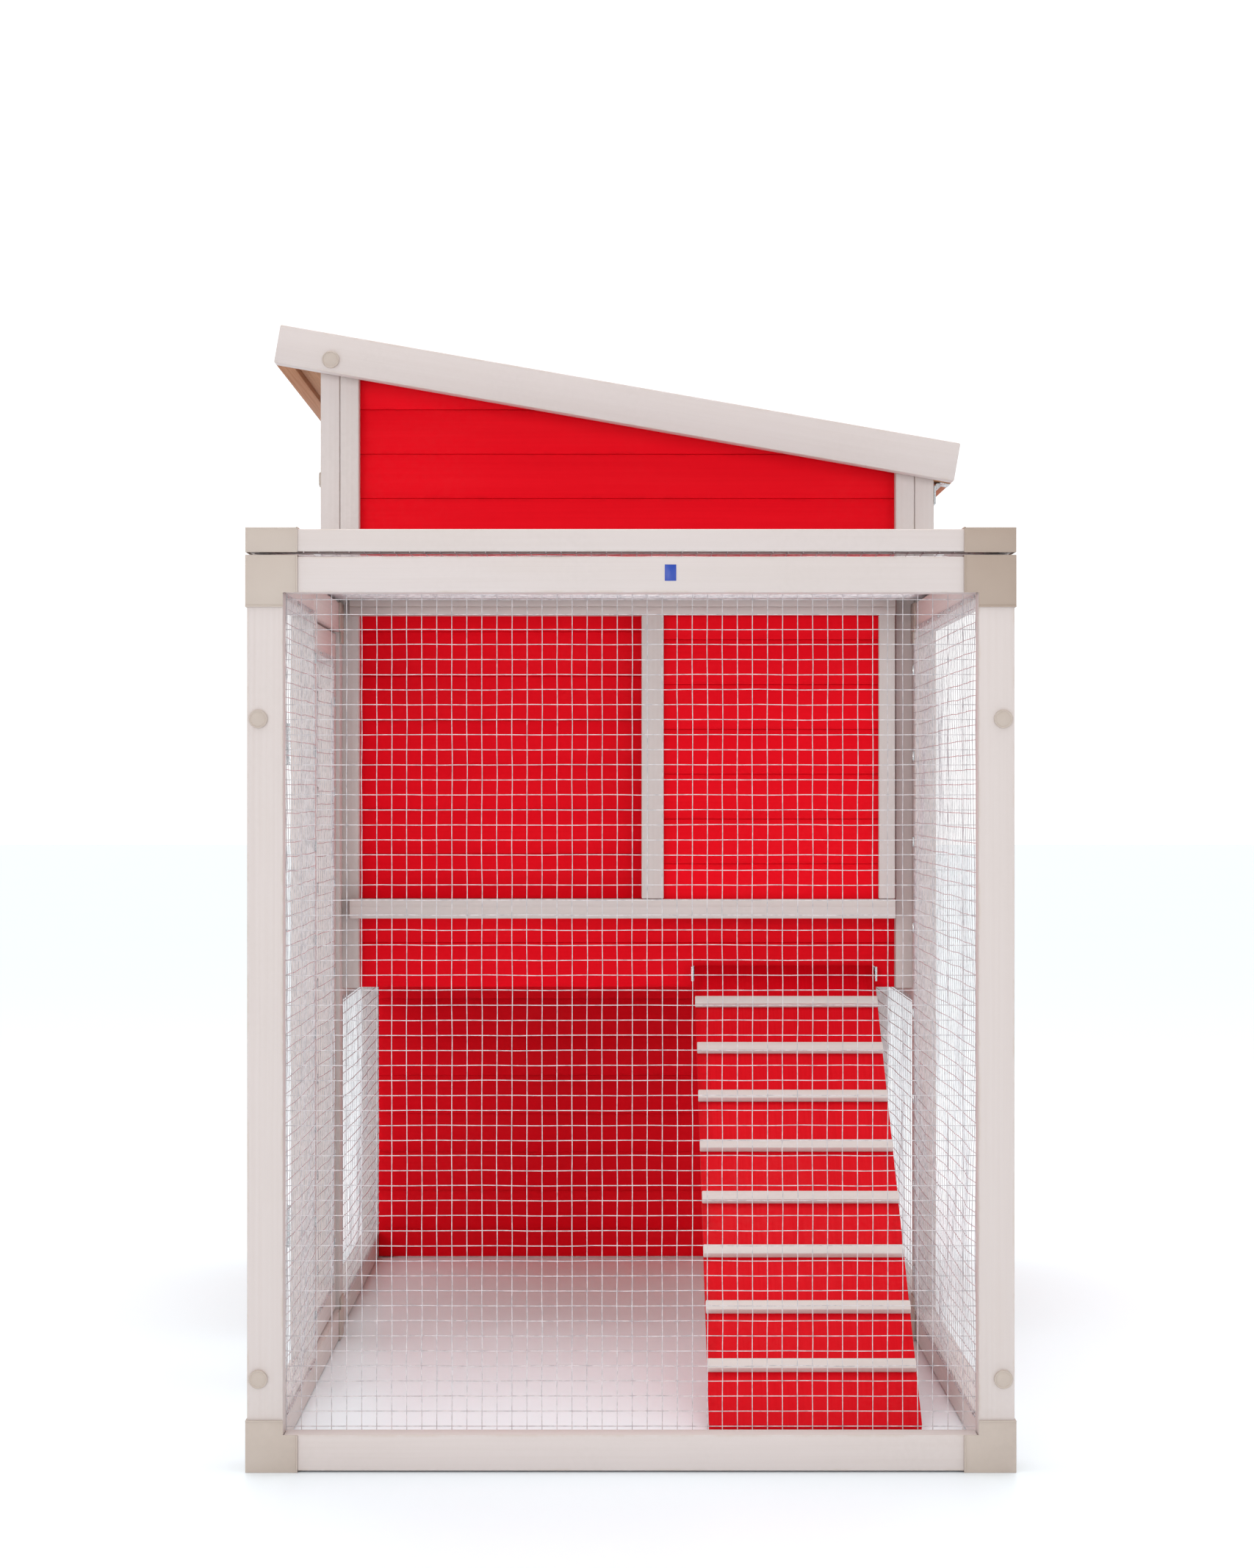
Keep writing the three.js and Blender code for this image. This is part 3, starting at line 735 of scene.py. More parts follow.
# ------------------------------------------------------------------ workshop
class Workshop:
    """Cuts timbers and fits finished pieces to the frame's bodies."""

    def __init__(self) -> None:
        """Mixes the paints and takes out the other finishes."""
        effects = SharedEffects()
        makers = {
            Finish.WHITE: TimberFinish(
                "WhitePaintedTimber", (210, 199, 195), (195, 180, 173), (213, 202, 200),
                (188, 168, 148), 0.5, 0.18, 0.35, 0.25, 0.05, 0.25),
            Finish.RED: TimberFinish(
                "RedPaintedTimber", (237, 5, 27), (210, 2, 17), (230, 4, 25),
                (170, 6, 12), 0.5, 0.22, 0.25, 0.12, 0.06, 0.06, 0.015),
            # The ramp's board: a darker copy of the red paint. The darker coat is painted shade; its
            # stronger edge wear and soil are wear and dust.
            Finish.RAMP: TimberFinish(
                "RedRampBoardPaintedShadeAndWear", (214, 6, 24), (186, 3, 15), (206, 4, 22),
                (160, 6, 12), 0.5, 0.3, 0.4, 0.2, 0.1, 0.06, 0.03),
            Finish.BARE: TimberFinish(
                "BarePine", (176, 124, 88), (132, 84, 54), (188, 138, 100),
                (110, 66, 42), 0.62, 0.6, 0.2, 0.6, 0.75, 0.25),
            Finish.WIRE: WireFinish("GalvanisedWire", (220, 214, 216), (180, 176, 180)),
            Finish.PLASTIC: MouldedFinish(
                "StonePlastic", (187, 172, 161), (195, 182, 171), 0.42),
            # A darker copy of the stone plastic, for corner pieces at the back, on +X.
            Finish.TAN: MouldedFinish("TanPlastic", (168, 149, 135), (176, 158, 144), 0.42),
            Finish.STEEL: PlatedFinish("ZincPlate", (205, 206, 206), (160, 162, 164)),
            Finish.TRAY: MouldedFinish("GreyTrayPlastic", (98, 102, 104), (112, 116, 118), 0.45),
            Finish.FELT: FeltFinish("GreenGreyFelt", (62, 70, 64), (96, 102, 94)),
            Finish.LABEL: MouldedFinish("BlueFilm", (24, 60, 158), (34, 74, 172), 0.3, 0.05),
        }
        self.materials = {finish: maker.build(effects) for finish, maker in makers.items()}
        self.rng = random.Random(1913)

    def fit(self, obj: bpy.types.Object, name: str, body: str, finish: Finish,
            *stands_for: str) -> bpy.types.Object:
        """Names a finished piece, dresses it and fixes it to a body.

        Args:
            obj: The settled mesh.
            name: The piece's name.
            body: The body that carries it.
            finish: Its finish.
            *stands_for: The frame's nodes that it replaces.

        Returns:
            The piece.
        """
        obj.name = name
        obj.data.name = name
        if not obj.data.materials:
            obj.data.materials.append(self.materials[finish])
        activate(obj)
        bpy.ops.object.shade_smooth_by_angle(angle=math.radians(40))
        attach(obj, body)
        if stands_for:
            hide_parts(*stands_for)
        log.info("%s on %s", name, body)
        return obj

    def stick(self, name: str, low: Vector, high: Vector, along: Axis,
              edge: float = 1.3 * MM) -> bpy.types.Object:
        """Cuts one timber, its grain running along it.

        Args:
            name: The object's name.
            low: Its lowest corner.
            high: Its highest corner.
            along: The direction it is cut in.
            edge: The rounding of its edges.

        Returns:
            The timber.
        """
        obj = block(name, low, high, edge)
        mark_grain(obj, along, self.rng)
        return obj

    def node_timber(self, node: str, along: Axis, body: str = ROOT,
                    finish: Finish = Finish.WHITE) -> bpy.types.Object:
        """Replaces a straight timber of the frame with a finished one."""
        low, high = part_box(node)
        return self.fit(self.stick(node, low, high, along), f"{node}_timber", body, finish, node)

    def board(self, low: Vector, high: Vector, along: Axis, face: Vector, groove: float,
              back: float = 0.3 * MM) -> bpy.types.Object:
        """Cuts one tongue and groove board.

        Args:
            low: Its lowest corner.
            high: Its highest corner.
            along: The direction it is cut in.
            face: The direction that its face side looks.
            groove: The chamfer on the face side's long edges.
            back: The chamfer on the other side's.

        Returns:
            The board.
        """
        obj = block("board", low, high, 0)
        for looks, chamfer in ((face, groove), (-face, back)):
            bpy.ops.object.mode_set(mode="OBJECT")
            deselect_mesh(obj)
            outermost = max(v.co.dot(looks) for v in obj.data.vertices)
            for edge in obj.data.edges:
                ends = [obj.data.vertices[i].co for i in edge.vertices]
                line = (ends[0] - ends[1]).normalized()
                outer = all(abs(e.dot(looks) - outermost) < NEAR for e in ends)
                edge.select = outer and abs(line[along.value]) > 0.9
            bpy.ops.object.mode_set(mode="EDIT")
            bpy.ops.mesh.select_mode(type="EDGE")
            bpy.ops.mesh.bevel(offset=chamfer, segments=2, affect="EDGES")
        bpy.ops.object.mode_set(mode="OBJECT")
        mark_grain(obj, along, self.rng)
        return obj


# ------------------------------------------------------------------ repeated hardware
@dataclass(frozen=True)
class Wave:
    """One kind of unevenness in a net."""

    label: str
    size: float            # how long the waves are
    clouds: str            # colour clouds push every way, grey ones straight out
    direction: str
    middle: float          # the cloud value that moves nothing


RIPPLE = Wave("ripple", 0.045, "COLOR", "RGB_TO_XYZ", 0.5)
SLACK = Wave("slack", 0.24, "GRAYSCALE", "Z", 0.35)


@dataclass
class WireNet:
    """A sheet of welded wire: wires one way behind, wires the other way in front."""

    pitch: float = 12.6 * MM
    wire: float = 0.74 * MM
    sides: int = 5
    ripple: float = 1.5 * MM       # small waves in each wire
    bulge: float = 7 * MM          # the sheet's slack away from its staples
    hold: float = 55 * MM          # how near its edges the sheet is held flat
    edge_play: float = 0.12        # the share of the waves left at its edges
    weld: float = 0.9              # how far apart the two layers lie, in wires

    def _strands(self, length: float, width: float, start: float) -> bpy.types.Object:
        """Parallel wires along Y, side by side along X.

        Args:
            length: How long the wires are.
            width: How far they spread.
            start: Where the first one lies.

        Returns:
            The wires as one object.
        """
        clear_selection()
        steps = max(2, round(length / self.pitch))
        step = length / steps
        bpy.ops.mesh.primitive_cylinder_add(
            vertices=self.sides, radius=self.wire / 2, depth=step, end_fill_type="NOTHING",
            location=(start, step / 2, 0), rotation=(math.pi / 2, 0, 0))
        obj = settle(bpy.context.object)
        self._repeat(obj, steps, (0, step, 0), True)
        bpy.ops.object.mode_set(mode="EDIT")
        bpy.ops.mesh.select_all(action="SELECT")
        bpy.ops.mesh.fill_holes(sides=0)
        bpy.ops.object.mode_set(mode="OBJECT")
        count = int((width - start) / self.pitch) + 1
        self._repeat(obj, count, (self.pitch, 0, 0), False)
        return obj

    @staticmethod
    def _repeat(obj: bpy.types.Object, count: int, step: tuple, merge: bool) -> None:
        """Applies an Array modifier.

        Args:
            obj: The piece.
            count: How many there are to be.
            step: From one to the next.
            merge: Whether their ends are welded.
        """
        array = obj.modifiers.new("rows", "ARRAY")
        array.count = count
        array.use_relative_offset = False
        array.use_constant_offset = True
        array.constant_offset_displace = step
        array.use_merge_vertices = merge
        array.merge_threshold = 0.02 * MM
        apply_modifier(obj, array)

    def build(self, name: str, width: float, height: float, place: Matrix,
              phase: tuple[float, float] = (0.004, 0.004)) -> bpy.types.Object:
        """Makes the sheet.

        Args:
            name: Its name.
            width: Its size along its own X.
            height: Its size along its own Y.
            place: Where its lowest corner goes and how it is turned; it faces its own +Z.
            phase: The first wire each way, in from that corner.

        Returns:
            The settled sheet.
        """
        upright = self._strands(height, width, phase[0])
        level = self._strands(width, height, phase[1])
        turn = Matrix(((0, 1, 0, 0), (1, 0, 0, 0), (0, 0, -1, self.wire * self.weld),
                       (0, 0, 0, 1)))
        settle(level, turn)
        net = joined(name, [upright, level])
        self._loosen(net, width, height)
        return settle(net, place)

    def _loosen(self, net: bpy.types.Object, width: float, height: float) -> None:
        """Lets the wires wave and the sheet bulge between its staples.

        Args:
            net: The sheet, before it is put in place.
            width: Its size along X.
            height: Its size along Y.
        """
        group = "free"
        held = net.vertex_groups.new(name=group)
        for vertex in net.data.vertices:
            inset = min(vertex.co.x, width - vertex.co.x, vertex.co.y, height - vertex.co.y)
            share = min(1.0, max(0.0, inset / self.hold))
            smooth = share * share * (3 - 2 * share)
            held.add([vertex.index], self.edge_play + (1 - self.edge_play) * smooth, "REPLACE")
        for wave, height in ((RIPPLE, self.ripple), (SLACK, self.bulge)):
            texture = bpy.data.textures.new(f"{net.name}_{wave.label}", "CLOUDS")
            texture.noise_scale = wave.size
            texture.noise_depth = 1
            texture.cloud_type = wave.clouds
            waves = net.modifiers.new(wave.label, "DISPLACE")
            waves.texture = texture
            waves.texture_coords = "LOCAL"
            waves.direction = wave.direction
            waves.strength = height * 2
            waves.mid_level = wave.middle
            waves.vertex_group = group
            apply_modifier(net, waves)
        net.vertex_groups.clear()


@dataclass
class Staples:
    """Short wire staples that hold a net to its timbers."""

    crown: float = 10 * MM
    wire: float = 1.1 * MM
    gap: float = 92 * MM

    def build(self, name: str, width: float, height: float, inset: float,
              place: Matrix) -> bpy.types.Object:
        """Sets staples round a rectangle that lies in its own X and Y, facing +Z.

        Args:
            name: The piece's name.
            width: The rectangle's size along X.
            height: Its size along Y.
            inset: How far in from its edges they are.
            place: Where its corner goes and how it is turned.

        Returns:
            The staples as one object.
        """
        half, thick = self.crown / 2, self.wire
        pattern = block("staple", (-half, -thick / 2, 0), (half, thick / 2, thick * 1.6), thick * 0.3)
        bpy.ops.object.mode_set(mode="EDIT")
        select_faces(pattern, lambda centre, normal: abs(normal.x) > 0.9)
        bpy.ops.transform.translate(value=(0, 0, -thick * 0.7))
        bpy.ops.object.mode_set(mode="OBJECT")
        quarter = Matrix.Rotation(math.pi / 2, 4, "Z")
        copies = []
        columns, rows = round(width / self.gap), round(height / self.gap)
        for i in range(columns):
            x = (i + 0.5) * width / columns
            for y in (inset, height - inset):
                copies.append(copy_of(pattern, Matrix.Translation((x, y, 0))))
        for i in range(rows):
            y = (i + 0.5) * height / rows
            for x in (inset, width - inset):
                copies.append(copy_of(pattern, Matrix.Translation((x, y, 0)) @ quarter))
        discard(pattern)
        return settle(joined(name, copies), place)


@dataclass
class CornerPiece:
    """A moulded corner: an L-shaped plate with lips over the panel's edges and rims at its ends."""

    leg: float = 42 * MM
    face: float = 30 * MM
    skin: float = 1.3 * MM
    rim: float = 1.2 * MM

    def pattern(self, lip: float) -> bpy.types.Object:
        """The piece for the corner at +X, +Z of a panel that faces -Y, the corner at the origin.

        Args:
            lip: How far the lips reach back over the panel's edges.

        Returns:
            The settled pattern.
        """
        skin, leg, face = self.skin, self.leg, self.face
        plate = block("corner", (-face, -skin, -face), (skin, 0, skin), 0)
        bpy.ops.object.mode_set(mode="EDIT")
        select_faces(plate, lambda centre, normal: normal.x < -0.9)
        bpy.ops.mesh.extrude_region_move(
            TRANSFORM_OT_translate={"value": (face - leg, 0, 0)})
        select_faces(plate, lambda centre, normal: normal.z < -0.9 and centre.x > -face)
        bpy.ops.mesh.extrude_region_move(
            TRANSFORM_OT_translate={"value": (0, 0, face - leg)})
        bpy.ops.object.mode_set(mode="OBJECT")
        tuck = NEAR
        outer = skin - tuck
        side = block("side", (0, -skin / 2, -leg + tuck), (outer, lip, outer), 0.3 * MM)
        end = block("end", (-leg + tuck, -skin / 2, tuck), (outer - tuck, lip - tuck, outer - tuck),
                    0.3 * MM)
        proud = skin + 0.6 * MM
        rims = [
            block("rim", (-leg - tuck, -proud, -face - tuck), (-leg + self.rim, -tuck, skin),
                  0.35 * MM),
            block("rim", (-face - tuck, -proud, -leg - tuck), (skin, -tuck, -leg + self.rim),
                  0.35 * MM),
            block("rim", (-leg - tuck, -skin / 2, skin / 2), (-leg + self.rim, lip - tuck, skin),
                  0.3 * MM),
            block("rim", (skin / 2, -skin / 2, -leg - tuck), (skin, lip - tuck, -leg + self.rim),
                  0.3 * MM),
        ]
        soft = plate.modifiers.new("soft", "BEVEL")
        soft.width = 0.4 * MM
        soft.segments = 2
        apply_modifier(plate, soft)
        return joined("corner", [plate, side, end, *rims])


@dataclass
class ScrewCap:
    """A round push-on cap with a nicked rim, over a screw."""

    radius: float = 7.8 * MM
    proud: float = 2.6 * MM

    def pattern(self) -> bpy.types.Object:
        """The cap, seated on Z = 0 and facing +Z.

        Returns:
            The settled pattern.
        """
        cap = drum(self.radius, self.proud, 40, 0.8 * MM)
        bpy.ops.object.mode_set(mode="EDIT")
        select_faces(cap, lambda centre, normal: normal.z > 0.99)
        bpy.ops.mesh.inset(thickness=1.0 * MM, depth=-0.5 * MM)
        bpy.ops.mesh.inset(thickness=1.6 * MM, depth=0.45 * MM)

        def nicked(centre: Vector, normal: Vector) -> bool:
            """Keeps every fifth stretch of the rim."""
            turn = round(math.degrees(math.atan2(centre.y, centre.x)) / 9)
            return centre.xy.length > self.radius * 0.88 and turn % 5 == 0 and centre.z > 0.5 * MM

        select_faces(cap, nicked)
        bpy.ops.mesh.inset(thickness=0.12 * MM, depth=-0.5 * MM)
        bpy.ops.object.mode_set(mode="OBJECT")
        return cap


@dataclass
class ScrewHead:
    """A countersunk screw's head with a cross slot, just proud of what it holds."""

    radius: float = 2.6 * MM
    proud: float = 0.6 * MM

    def pattern(self) -> bpy.types.Object:
        """The head, seated on Z = 0 and facing +Z.

        Returns:
            The settled pattern.
        """
        head = drum(self.radius, self.proud, 16, 0.25 * MM)
        bpy.ops.object.mode_set(mode="EDIT")
        select_faces(head, lambda centre, normal: normal.z > 0.99)
        bpy.ops.mesh.inset(thickness=self.radius * 0.45, depth=0)
        bpy.ops.mesh.inset(thickness=0.1 * MM, depth=-0.4 * MM)
        bpy.ops.object.mode_set(mode="OBJECT")
        return head


def facing(direction: Vector, at: Vector, spin: float = 0.0) -> Matrix:
    """The place of a piece made facing +Z that is to face another way."""
    turn = Vector((0, 0, 1)).rotation_difference(Vector(direction)).to_matrix().to_4x4()
    return Matrix.Translation(at) @ turn @ Matrix.Rotation(spin, 4, "Z")


def upright_sheet(corner: Vector, outward: Vector) -> Matrix:
    """The place of a sheet made in X and Y, stood up so that its Y is up and its +Z is outward.

    Args:
        corner: Where the sheet's own origin goes.
        outward: The way its front looks.

    Returns:
        The place.
    """
    up = Vector((0, 0, 1))
    across = up.cross(Vector(outward))
    rows = Matrix((across, up, Vector(outward))).transposed().to_4x4()
    return Matrix.Translation(corner) @ rows


# ------------------------------------------------------------------ run
@dataclass
class RunEndPanel:
    """The mesh panel at the run's end, with its corner pieces, caps and label."""

    shop: Workshop
    cap_heights: tuple[float, float] = (626 * MM, 77.5 * MM)
    cap_inset: float = 9.5 * MM
    label_at: tuple[float, float] = (33 * MM, 747.5 * MM)
    label_size: tuple[float, float] = (9.6 * MM, 13.6 * MM)
    wire_phase: tuple[float, float] = (5.6 * MM, 7.4 * MM)
    lips: float = 21 * MM          # how far the corner pieces reach back
    staple_inset: float = 2.4 * MM

    def build(self) -> None:
        """Makes every piece of the panel."""
        for side in ("front", "back"):
            self.shop.node_timber(f"run_end_post_{side}", Axis.Z)
        for end in ("top", "bottom"):
            self.shop.node_timber(f"run_end_rail_{end}", Axis.X)
        self._net()
        self._corners()
        self._caps()
        self._label()

    def _net(self) -> None:
        """The wire behind the panel, and its staples."""
        low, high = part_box("run_end_mesh")
        net = WireNet(sides=6, ripple=0.55 * MM, bulge=1.6 * MM)
        corner = Vector((high.x, low.y, low.z))
        place = upright_sheet(corner, Vector((0, 1, 0)))
        width, height = high.x - low.x, high.z - low.z
        sheet = net.build("end_net", width, height, place, self.wire_phase)
        self.shop.fit(sheet, "end_panel_welded_wire", ROOT, Finish.WIRE, "run_end_mesh")
        staples = Staples().build("staples", width, height, self.staple_inset, place)
        self.shop.fit(staples, "end_panel_staples", ROOT, Finish.STEEL)

    def _corners(self) -> None:
        """The four corner pieces."""
        pattern = CornerPiece().pattern(self.lips)
        for end, up in (("top", 1), ("bottom", -1)):
            for side, out in (("front", -1), ("back", 1)):
                node = f"run_end_bracket_{end}_{side}"
                post_low, post_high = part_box(f"run_end_post_{side}")
                at = Vector((post_high.x if out > 0 else post_low.x, post_low.y,
                             post_high.z if up > 0 else post_low.z))
                quarters = {(1, 1): 0, (1, -1): 1, (-1, -1): 2, (-1, 1): 3}[(out, up)]
                turn = Matrix.Rotation(quarters * math.pi / 2, 4, "Y")
                piece = copy_of(pattern, Matrix.Translation(at) @ turn)
                # The top corner at the back takes the darker copy of the plastic.
                shade = Finish.TAN if (out, up) == (1, 1) else Finish.PLASTIC
                self.shop.fit(piece, f"{node}_moulding", ROOT, shade, node)
        discard(pattern)

    def _caps(self) -> None:
        """The screw caps, two on each post."""
        pattern = ScrewCap().pattern()
        for side, out in (("front", -1), ("back", 1)):
            low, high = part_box(f"run_end_post_{side}")
            x = (high.x if out > 0 else low.x) - out * self.cap_inset
            for place, z in zip(("high", "low"), self.cap_heights):
                at = Vector((x, low.y, z))
                cap = copy_of(pattern, facing(Vector((0, -1, 0)), at, z * 40))
                self.shop.fit(cap, f"screw_cap_{side}_{place}", ROOT, Finish.PLASTIC)
        discard(pattern)

    def _label(self) -> None:
        """A plain blue label on the top rail."""
        low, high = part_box("run_end_rail_top")
        x = (low.x + high.x) / 2 + self.label_at[0]
        half_x, half_z = self.label_size[0] / 2, self.label_size[1] / 2
        z = self.label_at[1]
        label = block("label", (x - half_x, low.y - 0.25 * MM, z - half_z),
                      (x + half_x, low.y + 0.1 * MM, z + half_z), 0.12 * MM)
        self.shop.fit(label, "plain_label", ROOT, Finish.LABEL)


@dataclass
class PanelFrame:
    """A frame of stiles and rails, in place of a frame node cut from one slab."""

    shop: Workshop
    rail: float = 30 * MM
    seam: float = 0.12 * MM        # open joint between two timbers

    def build(self, node: str, body: str, flat: Axis, middles: tuple[float, ...] = ()) -> None:
        """Replaces a frame that stands square to an axis.

        Args:
            node: The frame's node.
            body: The body that carries it.
            flat: The axis across its thickness.
            middles: Where further stiles start, along its length.
        """
        low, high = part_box(node)
        run = Axis.Y if flat is Axis.X else Axis.X
        rise = Axis.Z if flat is not Axis.Z else Axis.Y
        starts = [low[run.value], *middles, high[run.value] - self.rail]
        parts = []
        for start in starts:
            a, b = low.copy(), high.copy()
            a[run.value], b[run.value] = start, start + self.rail
            if flat is Axis.Z:
                a[rise.value], b[rise.value] = low[rise.value] + self.rail, high[rise.value] - self.rail
            parts.append(self.shop.stick("stile", a, b, rise))
        spans = [(starts[i] + self.rail, starts[i + 1]) for i in range(len(starts) - 1)]
        if flat is Axis.Z:
            spans = [(low[run.value], high[run.value])]
        for start, end in spans:
            for bottom in (low[rise.value], high[rise.value] - self.rail):
                a, b = low.copy(), high.copy()
                a[run.value], b[run.value] = start + self.seam, end - self.seam
                a[rise.value], b[rise.value] = bottom, bottom + self.rail
                parts.append(self.shop.stick("rail", a, b, run))
        name = f"{node}_joinery"
        self.shop.fit(joined(name, parts), name, body, Finish.WHITE, node)


@dataclass
class RunSides:
    """The run's two side panels, and the door in the front one."""

    shop: Workshop
    rail: float = 30 * MM
    door_gap: float = 2 * MM
    corner_legs: float = 42 * MM
    corner_skin: float = 1.4 * MM
    net: WireNet = field(
        default_factory=lambda: WireNet(wire=0.68 * MM, ripple=0.9 * MM, bulge=7 * MM))
    staple_inset: float = 2.6 * MM

    def build(self) -> None:
        """Makes the panels, their wire and their corner pieces."""
        door_low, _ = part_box("run_door_frame")
        middle = door_low.y - self.door_gap - self.rail
        frames = PanelFrame(self.shop)
        frames.build("run_front_frame", ROOT, Axis.X, (middle,))
        frames.build("run_back_frame", ROOT, Axis.X)
        frames.build("run_door_frame", "run_door", Axis.X)
        self._net("run_front", ROOT, Vector((1, 0, 0)), 3 * MM)
        self._net("run_back", ROOT, Vector((-1, 0, 0)), 3 * MM)
        self._net("run_door", "run_door", Vector((1, 0, 0)), 4.3 * MM)
        self._corner_pieces()

    def _net(self, name: str, body: str, inward: Vector, first: float) -> None:
        """The wire on a panel's inner face, and its staples.

        Args:
            name: The panel's name.
            body: The body that carries it.
            inward: The way its net looks.
            first: Where the first upright wire stands.
        """
        node = f"{name}_mesh"
        low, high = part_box(node)
        x = low.x if inward.x > 0 else high.x
        y = low.y if inward.x > 0 else high.y
        place = upright_sheet(Vector((x, y, low.z)), inward)
        width, height = high.y - low.y, high.z - low.z
        sheet = self.net.build(name, width, height, place, (first, 4 * MM))
        self.shop.fit(sheet, f"{name}_welded_wire", body, Finish.WIRE, node)
        staples = Staples().build("staples", width, height, self.staple_inset, place)
        self.shop.fit(staples, f"{name}_staples", body, Finish.STEEL)

    def _corner_pieces(self) -> None:
        """Flat corner plates inside the far corners, where the panels meet the house."""
        for side, inward in (("front", 1), ("back", -1)):
            low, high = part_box(f"run_{side}_frame")
            x = high.x if inward > 0 else low.x
            face = (x, x + inward * self.corner_skin)
            leg, rail = self.corner_legs, self.rail
            for end, up in (("top", 1), ("bottom", -1)):
                z = high.z if up > 0 else low.z
                spans = [((high.y - leg, high.y), (z - up * rail, z)),
                         ((high.y - rail, high.y), (z - up * leg, z - up * rail))]
                parts = []
                for (y0, y1), (z0, z1) in spans:
                    a = Vector((min(face), y0, min(z0, z1)))
                    b = Vector((max(face), y1, max(z0, z1)))
                    parts.append(block("plate", a, b, 0.35 * MM))
                plate = joined("plate", parts)
                self.shop.fit(plate, f"run_{side}_corner_{end}", ROOT, Finish.PLASTIC)


@dataclass
class Lid:
    """The mesh lid of the run and the fixed ledge behind it."""

    shop: Workshop
    under_timber: float = 20 * MM  # how far the net reaches under the timbers
    near_edge: float = 3 * MM      # how near it comes to the lid's end
    lips: float = 0.8 * MM         # how far the corner pieces reach below the lid

    def build(self) -> None:
        """Makes the lid's joinery, wire and corner pieces, and the ledge."""
        PanelFrame(self.shop).build("lid_frame", "lid", Axis.Z)
        self.shop.node_timber("run_top_ledge", Axis.X)
        self._net()
        self._corners()

    def _net(self) -> None:
        """The wire under the lid, slack enough to show in the gap below it."""
        low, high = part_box("lid_mesh")
        frame_low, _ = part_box("lid_frame")
        grow = self.under_timber
        corner = Vector((low.x - grow, frame_low.y + self.near_edge, high.z - NEAR))
        width = high.x - low.x + 2 * grow
        height = high.y - low.y + grow
        turn = Matrix(((1, 0, 0, 0), (0, -1, 0, 0), (0, 0, -1, 0), (0, 0, 0, 1)))
        place = Matrix.Translation(corner + Vector((0, height, 0))) @ turn
        net = WireNet(ripple=1.2 * MM, bulge=2 * MM, hold=90 * MM)
        sheet = net.build("lid_net", width, height, place)
        self.shop.fit(sheet, "lid_welded_wire", "lid", Finish.WIRE, "lid_mesh")

    def _corners(self) -> None:
        """Corner pieces over the lid's four corners."""
        low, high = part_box("lid_frame")
        depth = high.z - low.z
        pattern = CornerPiece().pattern(depth + self.lips)
        flat = Matrix.Rotation(-math.pi / 2, 4, "X")
        corners = (("front_near", low.x, low.y, 2), ("back_near", high.x, low.y, 1),
                   ("front_far", low.x, high.y, 3), ("back_far", high.x, high.y, 0))
        for name, x, y, quarters in corners:
            turn = Matrix.Rotation(-quarters * math.pi / 2, 4, "Z")
            at = Matrix.Translation((x, y, high.z))
            piece = copy_of(pattern, at @ turn @ flat)
            # The corners at the back take the darker copy of the plastic.
            shade = Finish.TAN if x == high.x else Finish.PLASTIC
            self.shop.fit(piece, f"lid_corner_{name}", "lid", shade)
        discard(pattern)


# ------------------------------------------------------------------ house
@dataclass
class Carcass:
    """The house's legs, rails, stiles and floor."""

    shop: Workshop
    cap_height: float = 893 * MM
    net: WireNet = field(
        default_factory=lambda: WireNet(wire=0.68 * MM, ripple=0.9 * MM, bulge=5 * MM))

    def build(self) -> None:
        """Makes every standing piece of the house."""
        for corner in ("front_near", "front_far", "back_near", "back_far"):
            self._cut_to_roof(f"house_leg_{corner}", Axis.Z)
        for wall in ("end", "far"):
            for side in ("front", "back"):
                self._cut_to_roof(f"{wall}_wall_stile_{side}", Axis.Z)
        self._cut_to_roof("house_front_rail_top", Axis.Y)
        for node in ("house_front_rail_low", "house_back_rail_low", "under_front_rail",
                     "under_back_rail", "house_front_sill"):
            self.shop.node_timber(node, Axis.Y)
        self.shop.node_timber("house_floor", Axis.X, ROOT, Finish.BARE)
        self._nets()
        self._leg_caps()

    def _cut_to_roof(self, node: str, along: Axis) -> None:
        """Replaces a timber whose top follows the roof.

        Args:
            node: The timber's node.
            along: The direction it is cut in.
        """
        low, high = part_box(node)
        obj = self.shop.stick(node, low, high + Vector((0, 0, 2 * Roof.lap)), along)
        Roof.trim(obj, Vector((low.x, low.y, high.z)))
        self.shop.fit(obj, f"{node}_timber", ROOT, Finish.WHITE, node)

    def _nets(self) -> None:
        """The wire round the space under the house."""
        for side, inward in (("front", 1), ("back", -1)):
            node = f"under_{side}_mesh"
            low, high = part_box(node)
            direction = Vector((inward, 0, 0))
            corner = Vector((low.x if inward > 0 else high.x,
                             low.y if inward > 0 else high.y, low.z))
            place = upright_sheet(corner, direction)
            sheet = self.net.build(node, high.y - low.y, high.z - low.z, place)
            self.shop.fit(sheet, f"under_{side}_welded_wire", ROOT, Finish.WIRE, node)

    def _leg_caps(self) -> None:
        """Screw caps on the legs' outer faces."""
        pattern = ScrewCap().pattern()
        for end in ("near", "far"):
            low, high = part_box(f"house_leg_front_{end}")
            at = Vector((low.x, (low.y + high.y) / 2, self.cap_height))
            cap = copy_of(pattern, facing(Vector((-1, 0, 0)), at))
            self.shop.fit(cap, f"screw_cap_leg_{end}", ROOT, Finish.PLASTIC)
        discard(pattern)


